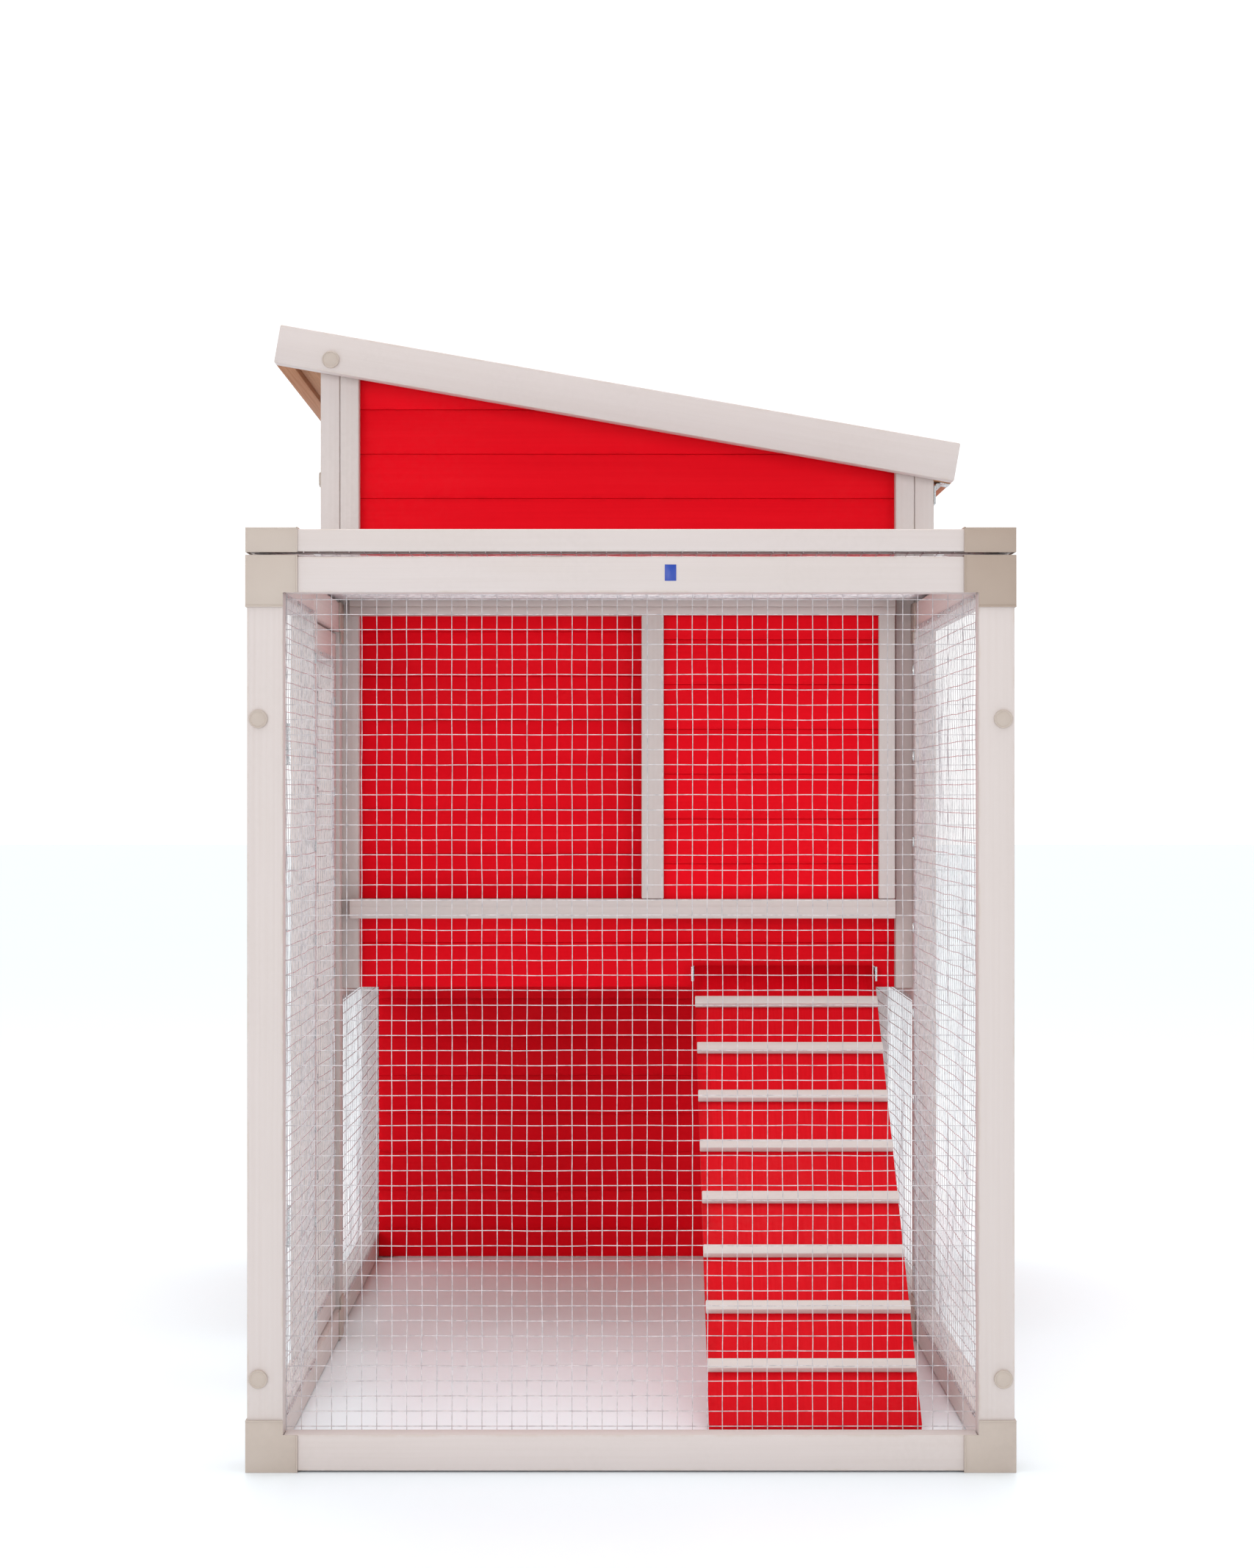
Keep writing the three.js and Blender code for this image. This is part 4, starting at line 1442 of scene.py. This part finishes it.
@dataclass
class Boarding:
    """Tongue and groove boards of the house's walls."""

    shop: Workshop
    pitch: float = 46.6 * MM
    joint: float = 0.06 * MM       # half the open joint between two boards
    groove: float = 1.1 * MM
    narrowest: float = 3 * MM
    doorway_lap: float = 30 * MM   # how far the door covers the wall at each side
    doorway_margin: float = 8 * MM  # between the doorway and each track

    def rows(self, bottom: float, top: float, datum: float) -> list[tuple[float, float]]:
        """The lower and upper edge of each board between two heights.

        Args:
            bottom: The wall's lower edge.
            top: Its upper edge.
            datum: The height of one seam.

        Returns:
            Each board's lower and upper edge.
        """
        first = datum - math.floor((datum - bottom) / self.pitch + 1e-6) * self.pitch
        edges = [bottom]
        seam = first if first > bottom + self.narrowest else first + self.pitch
        while seam < top - self.narrowest:
            edges.append(seam)
            seam += self.pitch
        edges.append(top)
        return list(zip(edges, edges[1:]))

    def wall(self, node: str, along: Axis, face: Vector, name: str, body: str = ROOT,
             datum: float | None = None, hole: tuple | None = None, sloped: bool = False) -> None:
        """Replaces a boarded node with separate boards.

        Args:
            node: The node.
            along: The direction its boards run in.
            face: The direction that its grooved side looks.
            name: The new piece's name.
            body: The body that carries it.
            datum: The height of one seam, or None for the wall's lower edge.
            hole: A hole's lowest X, highest X, lowest Z and highest Z.
            sloped: Whether its top follows the roof.
        """
        low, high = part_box(node)
        parts = []
        top = high.z + 2 * Roof.lap if sloped else high.z
        for z0, z1 in self.rows(low.z, top, low.z if datum is None else datum):
            for x0, x1, a, b in self._pieces(low.x, high.x, z0, z1, hole):
                start = Vector((x0, low.y, a + self.joint))
                end = Vector((x1, high.y, b - self.joint))
                parts.append(self.shop.board(start, end, along, face, self.groove))
        wall = joined(name, parts)
        if sloped:
            Roof.trim(wall, Vector((low.x, low.y, high.z)))
        self.shop.fit(wall, name, body, Finish.RED, node)

    @staticmethod
    def _pieces(x0: float, x1: float, z0: float, z1: float, hole: tuple | None) -> list[tuple]:
        """Splits a board round a hole.

        Args:
            x0: The board's lower end.
            x1: Its upper end.
            z0: Its lower edge.
            z1: Its upper edge.
            hole: The hole's limits, or None.

        Returns:
            The same four limits for each piece.
        """
        if hole is None or z1 <= hole[2] or z0 >= hole[3]:
            return [(x0, x1, z0, z1)]
        pieces = [(x0, hole[0], z0, z1), (hole[1], x1, z0, z1)]
        if z0 < hole[2]:
            pieces.append((hole[0], hole[1], z0, hole[2]))
        if z1 > hole[3]:
            pieces.append((hole[0], hole[1], hole[3], z1))
        return pieces

    def build(self) -> None:
        """Boards the end wall, the far wall and the back wall."""
        door_low, door_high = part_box("sliding_door_panel")
        _, track_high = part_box("door_track_bottom")
        upper_low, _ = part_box("door_track_top")
        doorway = (door_low.x + self.doorway_lap, door_high.x - self.doorway_lap,
                   track_high.z + self.doorway_margin, upper_low.z - self.doorway_margin)
        self.wall("end_wall_boards", Axis.X, Vector((0, -1, 0)), "end_wall_boarding",
                  hole=doorway, sloped=True)
        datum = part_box("end_wall_boards")[0].z
        self.wall("far_wall_boards", Axis.X, Vector((0, 1, 0)), "far_wall_boarding",
                  datum=datum, sloped=True)
        self.wall("house_back_boards", Axis.Y, Vector((1, 0, 0)), "back_wall_boarding",
                  datum=datum, sloped=True)


@dataclass
class SlidingDoor:
    """The door that slides in two tracks over the doorway."""

    shop: Workshop
    groove: float = 7.5 * MM
    gap: float = 1 * MM            # between the door and each side of its groove
    arris: float = 0.8 * MM
    seam_height: float = 56.3 * MM  # of one board's seam above the lower track

    def build(self) -> None:
        """Makes the tracks, the boarded door and its stiles."""
        for node, opens_up in (("door_track_bottom", True), ("door_track_top", False)):
            self._track(node, opens_up)
        for side in ("front", "back"):
            self.shop.node_timber(f"sliding_door_stile_{side}", Axis.Z, "sliding_door")
        boards = Boarding(self.shop)
        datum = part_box("door_track_bottom")[0].z + self.seam_height
        boards.wall("sliding_door_panel", Axis.X, Vector((0, -1, 0)), "sliding_door_boarding",
                    "sliding_door", datum)

    def _track(self, node: str, opens_up: bool) -> None:
        """Replaces a track with a base and the two sides of its groove.

        Args:
            node: The track's node.
            opens_up: Whether its groove is in its upper face.
        """
        panel_low, panel_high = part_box("sliding_door_panel")
        low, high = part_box(node)
        floor = high.z - self.groove if opens_up else low.z + self.groove
        base = (low.z, floor) if opens_up else (floor, high.z)
        sides = (floor - self.gap, high.z) if opens_up else (low.z - self.gap, floor)
        depths = ((low.y, panel_low.y - self.gap), (panel_high.y + self.gap, high.y))
        parts = [self.shop.stick("base", (low.x, low.y, base[0]), (high.x, high.y, base[1]),
                                 Axis.X, self.arris)]
        for near, far in depths:
            parts.append(self.shop.stick("side", (low.x, near, sides[0]),
                                         (high.x, far, sides[1]), Axis.X, self.arris))
        name = f"{node}_channel"
        self.shop.fit(joined(name, parts), name, ROOT, Finish.WHITE, node)


@dataclass
class TurnButton:
    """A turn button that hangs from its screw."""

    shop: Workshop
    roundness: float = 0.98        # of its ends, as a share of half its width
    arris: float = 0.8 * MM
    screw: ScrewHead = field(default_factory=lambda: ScrewHead(3.4 * MM, 0.9 * MM))
    screw_turn: float = 0.4        # how the screw's slot stands, in radians

    def build(self, node: str, body: str) -> None:
        """Replaces a button node with a rounded bar and its screw.

        Args:
            node: The button's node.
            body: The body that carries it.
        """
        low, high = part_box(node)
        radius = (high.y - low.y) / 2
        bar = block(node, low, high, 0)
        deselect_mesh(bar)
        for edge in bar.data.edges:
            ends = [bar.data.vertices[i].co for i in edge.vertices]
            edge.select = abs(ends[0].x - ends[1].x) > NEAR
        bpy.ops.object.mode_set(mode="EDIT")
        bpy.ops.mesh.select_mode(type="EDGE")
        bpy.ops.mesh.bevel(offset=radius * self.roundness, segments=8, affect="EDGES")
        bpy.ops.object.mode_set(mode="OBJECT")
        soft = bar.modifiers.new("soft", "BEVEL")
        soft.width = self.arris
        soft.segments = 2
        soft.limit_method = "ANGLE"
        apply_modifier(bar, soft)
        head = self.screw.pattern()
        at = Vector((low.x, (low.y + high.y) / 2, high.z - radius))
        screw = copy_of(head, facing(Vector((-1, 0, 0)), at, self.screw_turn))
        discard(head)
        self.shop.fit(bar, f"{node}_bar", body, Finish.STEEL, node)
        self.shop.fit(screw, f"{node}_screw", body, Finish.STEEL)


@dataclass
class HouseDoor:
    """The boarded door in the house's front."""

    shop: Workshop

    def build(self) -> None:
        """Makes the door's joinery and boards."""
        PanelFrame(self.shop).build("house_door_frame", "house_door", Axis.X)
        boards = Boarding(self.shop)
        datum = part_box("end_wall_boards")[0].z
        boards.wall("house_door_boards", Axis.Y, Vector((-1, 0, 0)), "house_door_boarding",
                    "house_door", datum)


@dataclass
class Hinges:
    """The hinges' moving leaves and screws, beside the frame's own fixed leaves."""

    shop: Workshop
    leaf: float = 1.6 * MM
    fixed_leaf: float = 1.9 * MM
    arris: float = 0.4 * MM
    end_gap: float = 1 * MM        # a moving leaf is this much shorter at each end
    pin: float = 2.6 * MM          # from the hinge's edge to the middle of its pin
    pin_clear: float = 3.2 * MM    # from the middle of the pin to the moving leaf
    reach: float = 17 * MM         # and to that leaf's far edge
    fixed_middle: float = 10 * MM  # and to the fixed leaf's screws
    standoff: float = 0.3 * MM     # between the timbers and the fixed leaf
    door_screws: tuple[float, float] = (0.22, 0.78)        # as shares of the hinge's length
    lid_screws: tuple[float, float] = (0.2, 0.8)
    roof_screws: tuple[float, float] = (0.25, 0.75)
    lid_leaf: tuple[float, float] = (2.2 * MM, 16 * MM)    # its edges, above the lid's underside
    lid_leaf_screws: float = 10 * MM
    lid_fixed_screws: float = 9 * MM
    roof_fixed_screws: float = 8 * MM
    roof_leaf: float = 11 * MM
    let_in: float = 0.2 * MM       # how far that leaf is sunk in the roof

    def build(self) -> None:
        """Fits every hinge of the hutch."""
        self._side_hinges("run_door_hinge", "run_door", 1)
        self._side_hinges("house_door_hinge", "house_door", -1)
        self._lid_hinges()
        self._roof_hinges()

    def _leaf(self, low: tuple, high: tuple, name: str, body: str, looks: Vector,
              screws: list[Vector]) -> None:
        """One leaf with its screws.

        Args:
            low: Its lowest corner.
            high: Its highest corner.
            name: The piece's name.
            body: The body that carries it.
            looks: The way the screws face.
            screws: Where each screw goes.
        """
        plate = block(name, low, high, self.arris)
        self.shop.fit(plate, name, body, Finish.STEEL)
        self._screws(name, body, looks, screws)

    def _screws(self, name: str, body: str, looks: Vector, screws: list[Vector]) -> None:
        """The screws of one leaf.

        Args:
            name: The leaf's name.
            body: The body that carries it.
            looks: The way they face.
            screws: Where each one goes.
        """
        head = ScrewHead().pattern()
        parts = [copy_of(head, facing(looks, at, i)) for i, at in enumerate(screws)]
        discard(head)
        self.shop.fit(joined("screws", parts), f"{name}_screws", body, Finish.STEEL)

    def _side_hinges(self, stem: str, body: str, toward: int) -> None:
        """Hinges on the front, whose moving leaf lies on the door beyond the pin.

        Args:
            stem: The start of the hinges' names.
            body: The door.
            toward: Which way along Y the door lies from its pin.
        """
        looks = Vector((-1, 0, 0))
        for place in ("low", "high"):
            low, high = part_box(f"{stem}_{place}")
            door_low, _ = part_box(f"{body}_frame")
            pin = low.y + self.pin if toward < 0 else high.y - self.pin
            y0 = pin + toward * self.pin_clear
            y1 = pin + toward * self.reach
            face = door_low.x
            heights = [low.z + (high.z - low.z) * share for share in self.door_screws]
            middle = (y0 + y1) / 2
            self._leaf((face - self.leaf, min(y0, y1), low.z + self.end_gap),
                       (face, max(y0, y1), high.z - self.end_gap),
                       f"{stem}_{place}_leaf", body, looks,
                       [Vector((face - self.leaf, middle, z)) for z in heights])
            fixed = pin - toward * self.fixed_middle
            outer = face - self.standoff - self.fixed_leaf
            self._screws(f"{stem}_{place}", ROOT, looks,
                         [Vector((outer, fixed, z)) for z in heights])

    def _lid_hinges(self) -> None:
        """Hinges on the run's back panel, whose moving leaf lies on the lid's edge."""
        looks = Vector((1, 0, 0))
        for place in ("near", "far"):
            low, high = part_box(f"lid_hinge_{place}")
            lid_low, lid_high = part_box("lid_frame")
            face = lid_high.x
            y0, y1 = low.y + self.end_gap, high.y - self.end_gap
            spots = [y0 + (y1 - y0) * share for share in self.lid_screws]
            bottom, top = (lid_low.z + edge for edge in self.lid_leaf)
            outer, height = face + self.leaf, lid_low.z + self.lid_leaf_screws
            self._leaf((face, y0, bottom), (outer, y1, top), f"lid_hinge_{place}_leaf", "lid",
                       looks, [Vector((outer, y, height)) for y in spots])
            outer, height = low.x + self.fixed_leaf, low.z + self.lid_fixed_screws
            self._screws(f"lid_hinge_{place}", ROOT, looks,
                         [Vector((outer, y, height)) for y in spots])

    def _roof_hinges(self) -> None:
        """Hinges on the back legs, whose moving leaf lies under the roof."""
        origin = Roof(self.shop).place()
        top = self.let_in
        for place in ("near", "far"):
            low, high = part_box(f"roof_hinge_{place}")
            y0, y1 = low.y + self.end_gap, high.y - self.end_gap
            local = origin.inverted() @ Vector((high.x, y0, high.z))
            x0 = local.x - self.end_gap
            plate = block("leaf", (x0, y0, top - self.leaf), (x0 + self.roof_leaf, y1, top),
                          self.arris)
            settle(plate, origin)
            self.shop.fit(plate, f"roof_hinge_{place}_leaf", "roof", Finish.STEEL)
            spots = [y0 + (y1 - y0) * share for share in self.roof_screws]
            outer, height = low.x + self.fixed_leaf, low.z + self.roof_fixed_screws
            self._screws(f"roof_hinge_{place}", ROOT, Vector((1, 0, 0)),
                         [Vector((outer, y, height)) for y in spots])


@dataclass
class Tray:
    """The pull-out tray and its front board."""

    shop: Workshop
    wall: float = 1.5 * MM
    board: float = 18 * MM
    pan_height: float = 42 * MM
    side_gap: float = 1.7 * MM
    arris: float = 1.0 * MM
    board_lift: float = 0.5 * MM

    def build(self) -> None:
        """Makes the pan and the board."""
        low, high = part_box("tray")
        back = low.x + self.board
        base = low.z
        pan = block("pan", (back, low.y + self.side_gap, base),
                    (high.x, high.y - self.side_gap, base + self.pan_height), self.arris)
        bpy.ops.object.mode_set(mode="EDIT")
        select_faces(pan, lambda centre, normal: normal.z > 0.95)
        bpy.ops.mesh.inset(thickness=self.wall)
        bpy.ops.transform.translate(value=(0, 0, self.wall - self.pan_height))
        bpy.ops.object.mode_set(mode="OBJECT")
        self.shop.fit(pan, "tray_pan", "tray", Finish.TRAY, "tray")
        front = self.shop.stick("front", (low.x, low.y, base + self.board_lift),
                                (back, high.y, high.z), Axis.Y)
        self.shop.fit(front, "tray_front_board", "tray", Finish.WHITE)


@dataclass
class Ramp:
    """The ramp board with its cleats."""

    shop: Workshop
    toe: float = 160 * MM          # from the end panel's face
    thickness: float = 9 * MM
    past_pivot: float = 8 * MM
    cleats: int = 8
    first: float = 67 * MM
    pitch: float = 70.8 * MM
    cleat_width: float = 12 * MM
    cleat_height: float = 6 * MM
    unevenness: float = 0.4 * MM   # how far a cleat may sit to one side

    def build(self) -> None:
        """Makes the board and its cleats, lying from the pivot down to the floor."""
        pivot = Vector(next(j["pos_m"] for j in frame["joints"] if j["name"] == "ramp_hinge"))
        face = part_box("run_end_rail_top")[0].y
        half = self.thickness / 2
        run = pivot.y - (face + self.toe)
        reach = math.hypot(run, pivot.z)
        angle = math.atan2(pivot.z, run) - math.asin(half / reach)
        length = math.sqrt(reach * reach - half * half)
        low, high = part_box("ramp")
        side = (high.x - low.x) / 2
        place = Matrix.Translation(pivot) @ Matrix.Rotation(angle, 4, "X")
        board = self.shop.stick("board", (-side, -length, -half), (side, self.past_pivot, half),
                                Axis.Y, 0.9 * MM)
        settle(board, place)
        # The board takes the red paint darkened as painted shade.
        self.shop.fit(board, "ramp_board", "ramp", Finish.RAMP, "ramp")
        parts = []
        for i in range(self.cleats):
            middle = self.first + i * self.pitch - length
            lean = self.shop.rng.uniform(-self.unevenness, self.unevenness)
            parts.append(self.shop.stick(
                "cleat", (-side - lean, middle - self.cleat_width / 2, half),
                (side - lean, middle + self.cleat_width / 2, half + self.cleat_height),
                Axis.X, 1.0 * MM))
        cleats = settle(joined("cleats", parts), place)
        self.shop.fit(cleats, "ramp_cleats", "ramp", Finish.WHITE)


@dataclass
class Roof:
    """The hinged pent roof: fascia boards round a felted deck."""

    shop: Workshop
    fascia: float = 20 * MM
    depth: float = 40 * MM
    deck: float = 12 * MM
    deck_inset: float = 2 * MM
    board: float = 92 * MM
    ceiling: float = 3 * MM
    clear: float = 0.4 * MM                                # round the deck and the ceiling
    felt_skin: float = 1.5 * MM
    felt_lap: float = 30 * MM
    felt_gap: float = 0.5 * MM     # between the felt and the fascia
    lap_rise: float = 0.9 * MM     # how far the upper strip lies over the lower one
    nail_radius: float = 4 * MM
    nail_inset: float = 12 * MM
    nail_gap: float = 78 * MM
    cap_radius: float = 8.9 * MM
    cap_at: tuple[float, float] = (57.7 * MM, 12.9 * MM)   # along the fascia, up it
    lap: ClassVar[float] = 4 * MM                          # how far the walls reach up inside it
    slope: ClassVar[float] = math.radians(9.9)             # its fall from front to back

    @classmethod
    def trim(cls, obj: bpy.types.Object, corner: Vector) -> None:
        """Cuts a piece's top to the roof's slope.

        Args:
            obj: The piece, left tall.
            corner: Its highest corner in the frame, which the cut clears by the lap.
        """
        activate(obj)
        bpy.ops.object.mode_set(mode="EDIT")
        bpy.ops.mesh.select_all(action="SELECT")
        bpy.ops.mesh.bisect(
            plane_co=corner + Vector((0, 0, cls.lap)), use_fill=True, clear_outer=True,
            plane_no=(math.sin(cls.slope), 0, math.cos(cls.slope)))
        bpy.ops.object.mode_set(mode="OBJECT")

    def place(self) -> Matrix:
        """The roof's own axes: X down the slope from the front eave, Z square to it.

        Returns:
            The place.
        """
        low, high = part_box("roof_frame")
        z = high.z - self.depth * math.cos(self.slope)
        return Matrix.Translation((low.x, 0, z)) @ Matrix.Rotation(self.slope, 4, "Y")

    def build(self) -> None:
        """Makes the fascia, the deck, the felt and the caps."""
        low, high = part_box("roof_frame")
        place = self.place()
        wide = (high.x - low.x - self.depth * math.sin(self.slope)) / math.cos(self.slope)
        self._fascia(wide, low.y, high.y, place)
        self._deck(wide, low.y, high.y, place)
        self._felt(wide, low.y, high.y, place)
        pattern = ScrewCap(radius=self.cap_radius).pattern()
        at = place @ Matrix.Translation((self.cap_at[0], low.y, self.cap_at[1]))
        cap = copy_of(pattern, at @ facing(Vector((0, -1, 0)), Vector()))
        discard(pattern)
        self.shop.fit(cap, "screw_cap_roof", "roof", Finish.PLASTIC)

    def _fascia(self, wide: float, y0: float, y1: float, place: Matrix) -> None:
        """Four boards on edge, painted outside and bare underneath and inside.

        Args:
            wide: The roof's width down the slope.
            y0: Its near end.
            y1: Its far end.
            place: Its axes.
        """
        t, d = self.fascia, self.depth
        spans = [((0, y0, 0), (wide, y0 + t, d), Axis.X), ((0, y1 - t, 0), (wide, y1, d), Axis.X),
                 ((0, y0 + t, 0), (t, y1 - t, d), Axis.Y),
                 ((wide - t, y0 + t, 0), (wide, y1 - t, d), Axis.Y)]
        parts = [self.shop.stick("fascia", a, b, along, 1.6 * MM) for a, b, along in spans]
        frame_boards = joined("fascia", parts)
        frame_boards.data.materials.append(self.shop.materials[Finish.WHITE])
        frame_boards.data.materials.append(self.shop.materials[Finish.BARE])
        middle = Vector((wide / 2, (y0 + y1) / 2, 0))
        edge = t * 0.9
        for face in frame_boards.data.polygons:
            inward = (middle - face.center).to_2d().normalized()
            inside = (edge < face.center.x < wide - edge
                      and y0 + edge < face.center.y < y1 - edge)
            inner = inside and face.normal.to_2d().dot(inward) > 0.6
            under = face.normal.z < -0.8 and y0 + t < face.center.y < y1 - t
            if under or inner:
                face.material_index = 1
        settle(frame_boards, place)
        self.shop.fit(frame_boards, "roof_fascia", "roof", Finish.WHITE, "roof_frame")

    def _deck(self, wide: float, y0: float, y1: float, place: Matrix) -> None:
        """Bare boards along the hutch.

        Args:
            wide: The roof's width down the slope.
            y0: Its near end.
            y1: Its far end.
            place: Its axes.
        """
        t = self.fascia
        top = self.depth - self.deck_inset - 1.6 * MM
        start, end = t + self.clear, wide - t - self.clear
        near, far = y0 + t + self.clear, y1 - t - self.clear
        count = round((end - start) / self.board)
        step = (end - start) / count
        parts = []
        for i in range(count):
            a = Vector((start + i * step + 0.3 * MM, near, top - self.deck))
            b = Vector((start + (i + 1) * step - 0.3 * MM, far, top))
            parts.append(self.shop.board(a, b, Axis.Y, Vector((0, 0, -1)), 1.6 * MM))
        deck = settle(joined("deck", parts), place)
        self.shop.fit(deck, "roof_deck_boards", "roof", Finish.BARE, "roof_deck")
        base = self.lap + 0.8 * MM
        ceiling = self.shop.stick("ceiling", (start, near, base),
                                  (end, far, base + self.ceiling), Axis.Y, 0.3 * MM)
        settle(ceiling, place)
        self.shop.fit(ceiling, "roof_ceiling_panel", "roof", Finish.BARE)

    def _felt(self, wide: float, y0: float, y1: float, place: Matrix) -> None:
        """Two lapped strips of felt, nailed along the edges.

        Args:
            wide: The roof's width down the slope.
            y0: Its near end.
            y1: Its far end.
            place: Its axes.
        """
        t = self.fascia
        top = self.depth - self.deck_inset
        x0, x1 = t + self.felt_gap, wide - t - self.felt_gap
        ya, yb = y0 + t + self.felt_gap, y1 - t - self.felt_gap
        lap = (x0 + x1) / 2
        strips = []
        for a, b, lift in ((x0, lap + self.felt_lap, self.lap_rise), (lap, x1, 0.0)):
            strip = block("strip", (a, ya, top - self.felt_skin + lift), (b, yb, top + lift),
                          0.3 * MM)
            bpy.ops.object.mode_set(mode="EDIT")
            select_faces(strip, lambda centre, normal: normal.z > 0.95)
            bpy.ops.mesh.subdivide(number_cuts=24)
            bpy.ops.object.mode_set(mode="OBJECT")
            strips.append(strip)
        felt = joined("felt", strips)
        texture = bpy.data.textures.new("felt_ripple", "CLOUDS")
        texture.noise_scale = 0.11
        ripple = felt.modifiers.new("ripple", "DISPLACE")
        ripple.texture = texture
        ripple.texture_coords = "LOCAL"
        ripple.direction = "Z"
        ripple.strength = 1.4 * MM
        ripple.mid_level = 0.6
        apply_modifier(felt, ripple)
        settle(felt, place)
        self.shop.fit(felt, "roof_felt_sheet", "roof", Finish.FELT)
        self._nails(x0, x1, ya, yb, top, place)

    def _nails(self, x0: float, x1: float, ya: float, yb: float, top: float,
               place: Matrix) -> None:
        """Clout nails round the felt.

        Args:
            x0: The felt's upper edge.
            x1: Its lower edge.
            ya: Its near end.
            yb: Its far end.
            top: The height of its face.
            place: The roof's axes.
        """
        head = drum(self.nail_radius, 1.2 * MM, 12, 0.4 * MM)
        inset, gap = self.nail_inset, self.nail_gap
        spots = []
        across, along = round((x1 - x0) / gap), round((yb - ya) / gap)
        for i in range(across + 1):
            x = x0 + inset + (x1 - x0 - 2 * inset) * i / across
            spots += [(x, ya + inset), (x, yb - inset)]
        for i in range(1, along):
            y = ya + inset + (yb - ya - 2 * inset) * i / along
            spots += [(x0 + inset, y), (x1 - inset, y)]
        parts = [copy_of(head, Matrix.Translation((x, y, top - 0.2 * MM))) for x, y in spots]
        discard(head)
        nails = settle(joined("nails", parts), place)
        self.shop.fit(nails, "roof_felt_nails", "roof", Finish.STEEL)


# ------------------------------------------------------------------ studio
@dataclass(frozen=True)
class SoftLight:
    """A square soft light."""

    name: str
    at: tuple[float, float, float]
    toward: tuple[float, float, float]
    size: float
    power: float

    def hang(self) -> None:
        """Adds the light to the scene."""
        data = bpy.data.lights.new(self.name, "AREA")
        data.shape = "SQUARE"
        data.size = self.size
        data.energy = self.power
        light = bpy.data.objects.new(self.name, data)
        light.location = self.at
        aim = Vector(self.toward) - Vector(self.at)
        light.rotation_euler = aim.to_track_quat("-Z", "Y").to_euler()
        bpy.context.scene.collection.objects.link(light)


@dataclass
class Studio:
    """A plain pale floor, soft light and the camera."""

    camera_at: Vector = field(default_factory=lambda: Vector((-3.94, -3109.35, 564.0)) * MM)
    lens: float = 69.1
    shift: tuple[float, float] = (0.0087, 0.0061)
    floor_size: float = 60.0
    front_sky: float = 0.30        # brightness of the surround behind the camera
    back_sky: float = 1.12         # and above and behind the hutch
    bright_side: tuple[float, float, float] = (0, 0.75, 0.66)
    surround_turn: tuple[float, float] = (-0.5, 0.3)
    lights: tuple[SoftLight, ...] = (
        SoftLight("key", (-3.3, -8.9, 2.6), (0, 0.1, 0.5), 3.0, 150),
        SoftLight("fill", (3.9, -9.0, 1.6), (0, 0.1, 0.5), 3.0, 85),
        SoftLight("low", (-0.9, -9.3, 0.5), (0, 0.6, 0.6), 0.9, 62),
        SoftLight("top", (0, 0.05, 3.7), (0, 0.1, 0), 2.2, 46),
    )

    def build(self) -> None:
        """Sets up the floor, the lights and the camera."""
        self._floor()
        self._lights()
        self._camera()

    def _camera(self) -> None:
        """A level camera, square to the end panel."""
        data = bpy.data.cameras.new("camera")
        data.lens = self.lens
        data.sensor_width = 36.0
        data.shift_x, data.shift_y = self.shift
        data.clip_end = 200.0
        camera = bpy.data.objects.new("camera", data)
        camera.location = self.camera_at
        camera.rotation_euler = (math.pi / 2, 0, 0)
        bpy.context.scene.collection.objects.link(camera)
        bpy.context.scene.camera = camera

    def _floor(self) -> None:
        """The floor, smooth and nearly white."""
        clear_selection()
        bpy.ops.mesh.primitive_plane_add(size=self.floor_size, location=(0, 0, 0))
        floor = bpy.context.object
        floor.name = "studio_floor"
        material, desk, shader = blank_material("PaleFloor")
        shade = desk.noise(desk.object_place(), 1.5, 3.0)
        colour = desk.mix(shade, (0.88, 0.94, 0.98, 1), (0.90, 0.96, 1.0, 1))
        desk.feed(shader.inputs["Base Color"], colour)
        shader.inputs["Roughness"].default_value = 0.35
        shader.inputs["Specular IOR Level"].default_value = 0.25
        floor.data.materials.append(material)

    def _lights(self) -> None:
        """A surround that is darker behind the camera, and the soft lights."""
        world = bpy.data.worlds.new("surround")
        world.use_nodes = True
        desk = Desk(world.node_tree)
        toward = desk.add("ShaderNodeVectorMath", operation="DOT_PRODUCT")
        desk.feed(toward.inputs[0], desk.add("ShaderNodeTexCoord").outputs["Generated"])
        desk.feed(toward.inputs[1], self.bright_side)
        background = world.node_tree.nodes["Background"]
        background.inputs["Color"].default_value = (1, 1, 1, 1)
        desk.feed(background.inputs["Strength"],
                  desk.ramp(toward.outputs["Value"], *self.surround_turn, self.front_sky,
                            self.back_sky))
        bpy.context.scene.world = world
        for light in self.lights:
            light.hang()
        bpy.context.scene.view_settings.view_transform = "Standard"


def dress_frame_nodes(shop: Workshop) -> None:
    """Gives the frame's own steel pieces their finish.

    Args:
        shop: The workshop that holds the finishes.
    """
    for name, node in frame["nodes"].items():
        if "hinge" in name or name == "ramp_bracket":
            for slot in node.material_slots:
                slot.material = shop.materials[Finish.STEEL]


def main() -> None:
    """Builds the studio and then the hutch, sub-assembly by sub-assembly."""
    logging.basicConfig(level=logging.INFO, format="%(message)s")
    Studio().build()
    shop = Workshop()
    dress_frame_nodes(shop)
    RunEndPanel(shop).build()
    RunSides(shop).build()
    Lid(shop).build()
    Carcass(shop).build()
    Boarding(shop).build()
    SlidingDoor(shop).build()
    HouseDoor(shop).build()
    Hinges(shop).build()
    TurnButton(shop).build("house_door_button", "house_door_latch")
    TurnButton(shop).build("run_door_button", "run_door_latch")
    Tray(shop).build()
    Ramp(shop).build()
    Roof(shop).build()


if __name__ == "__main__":
    main()
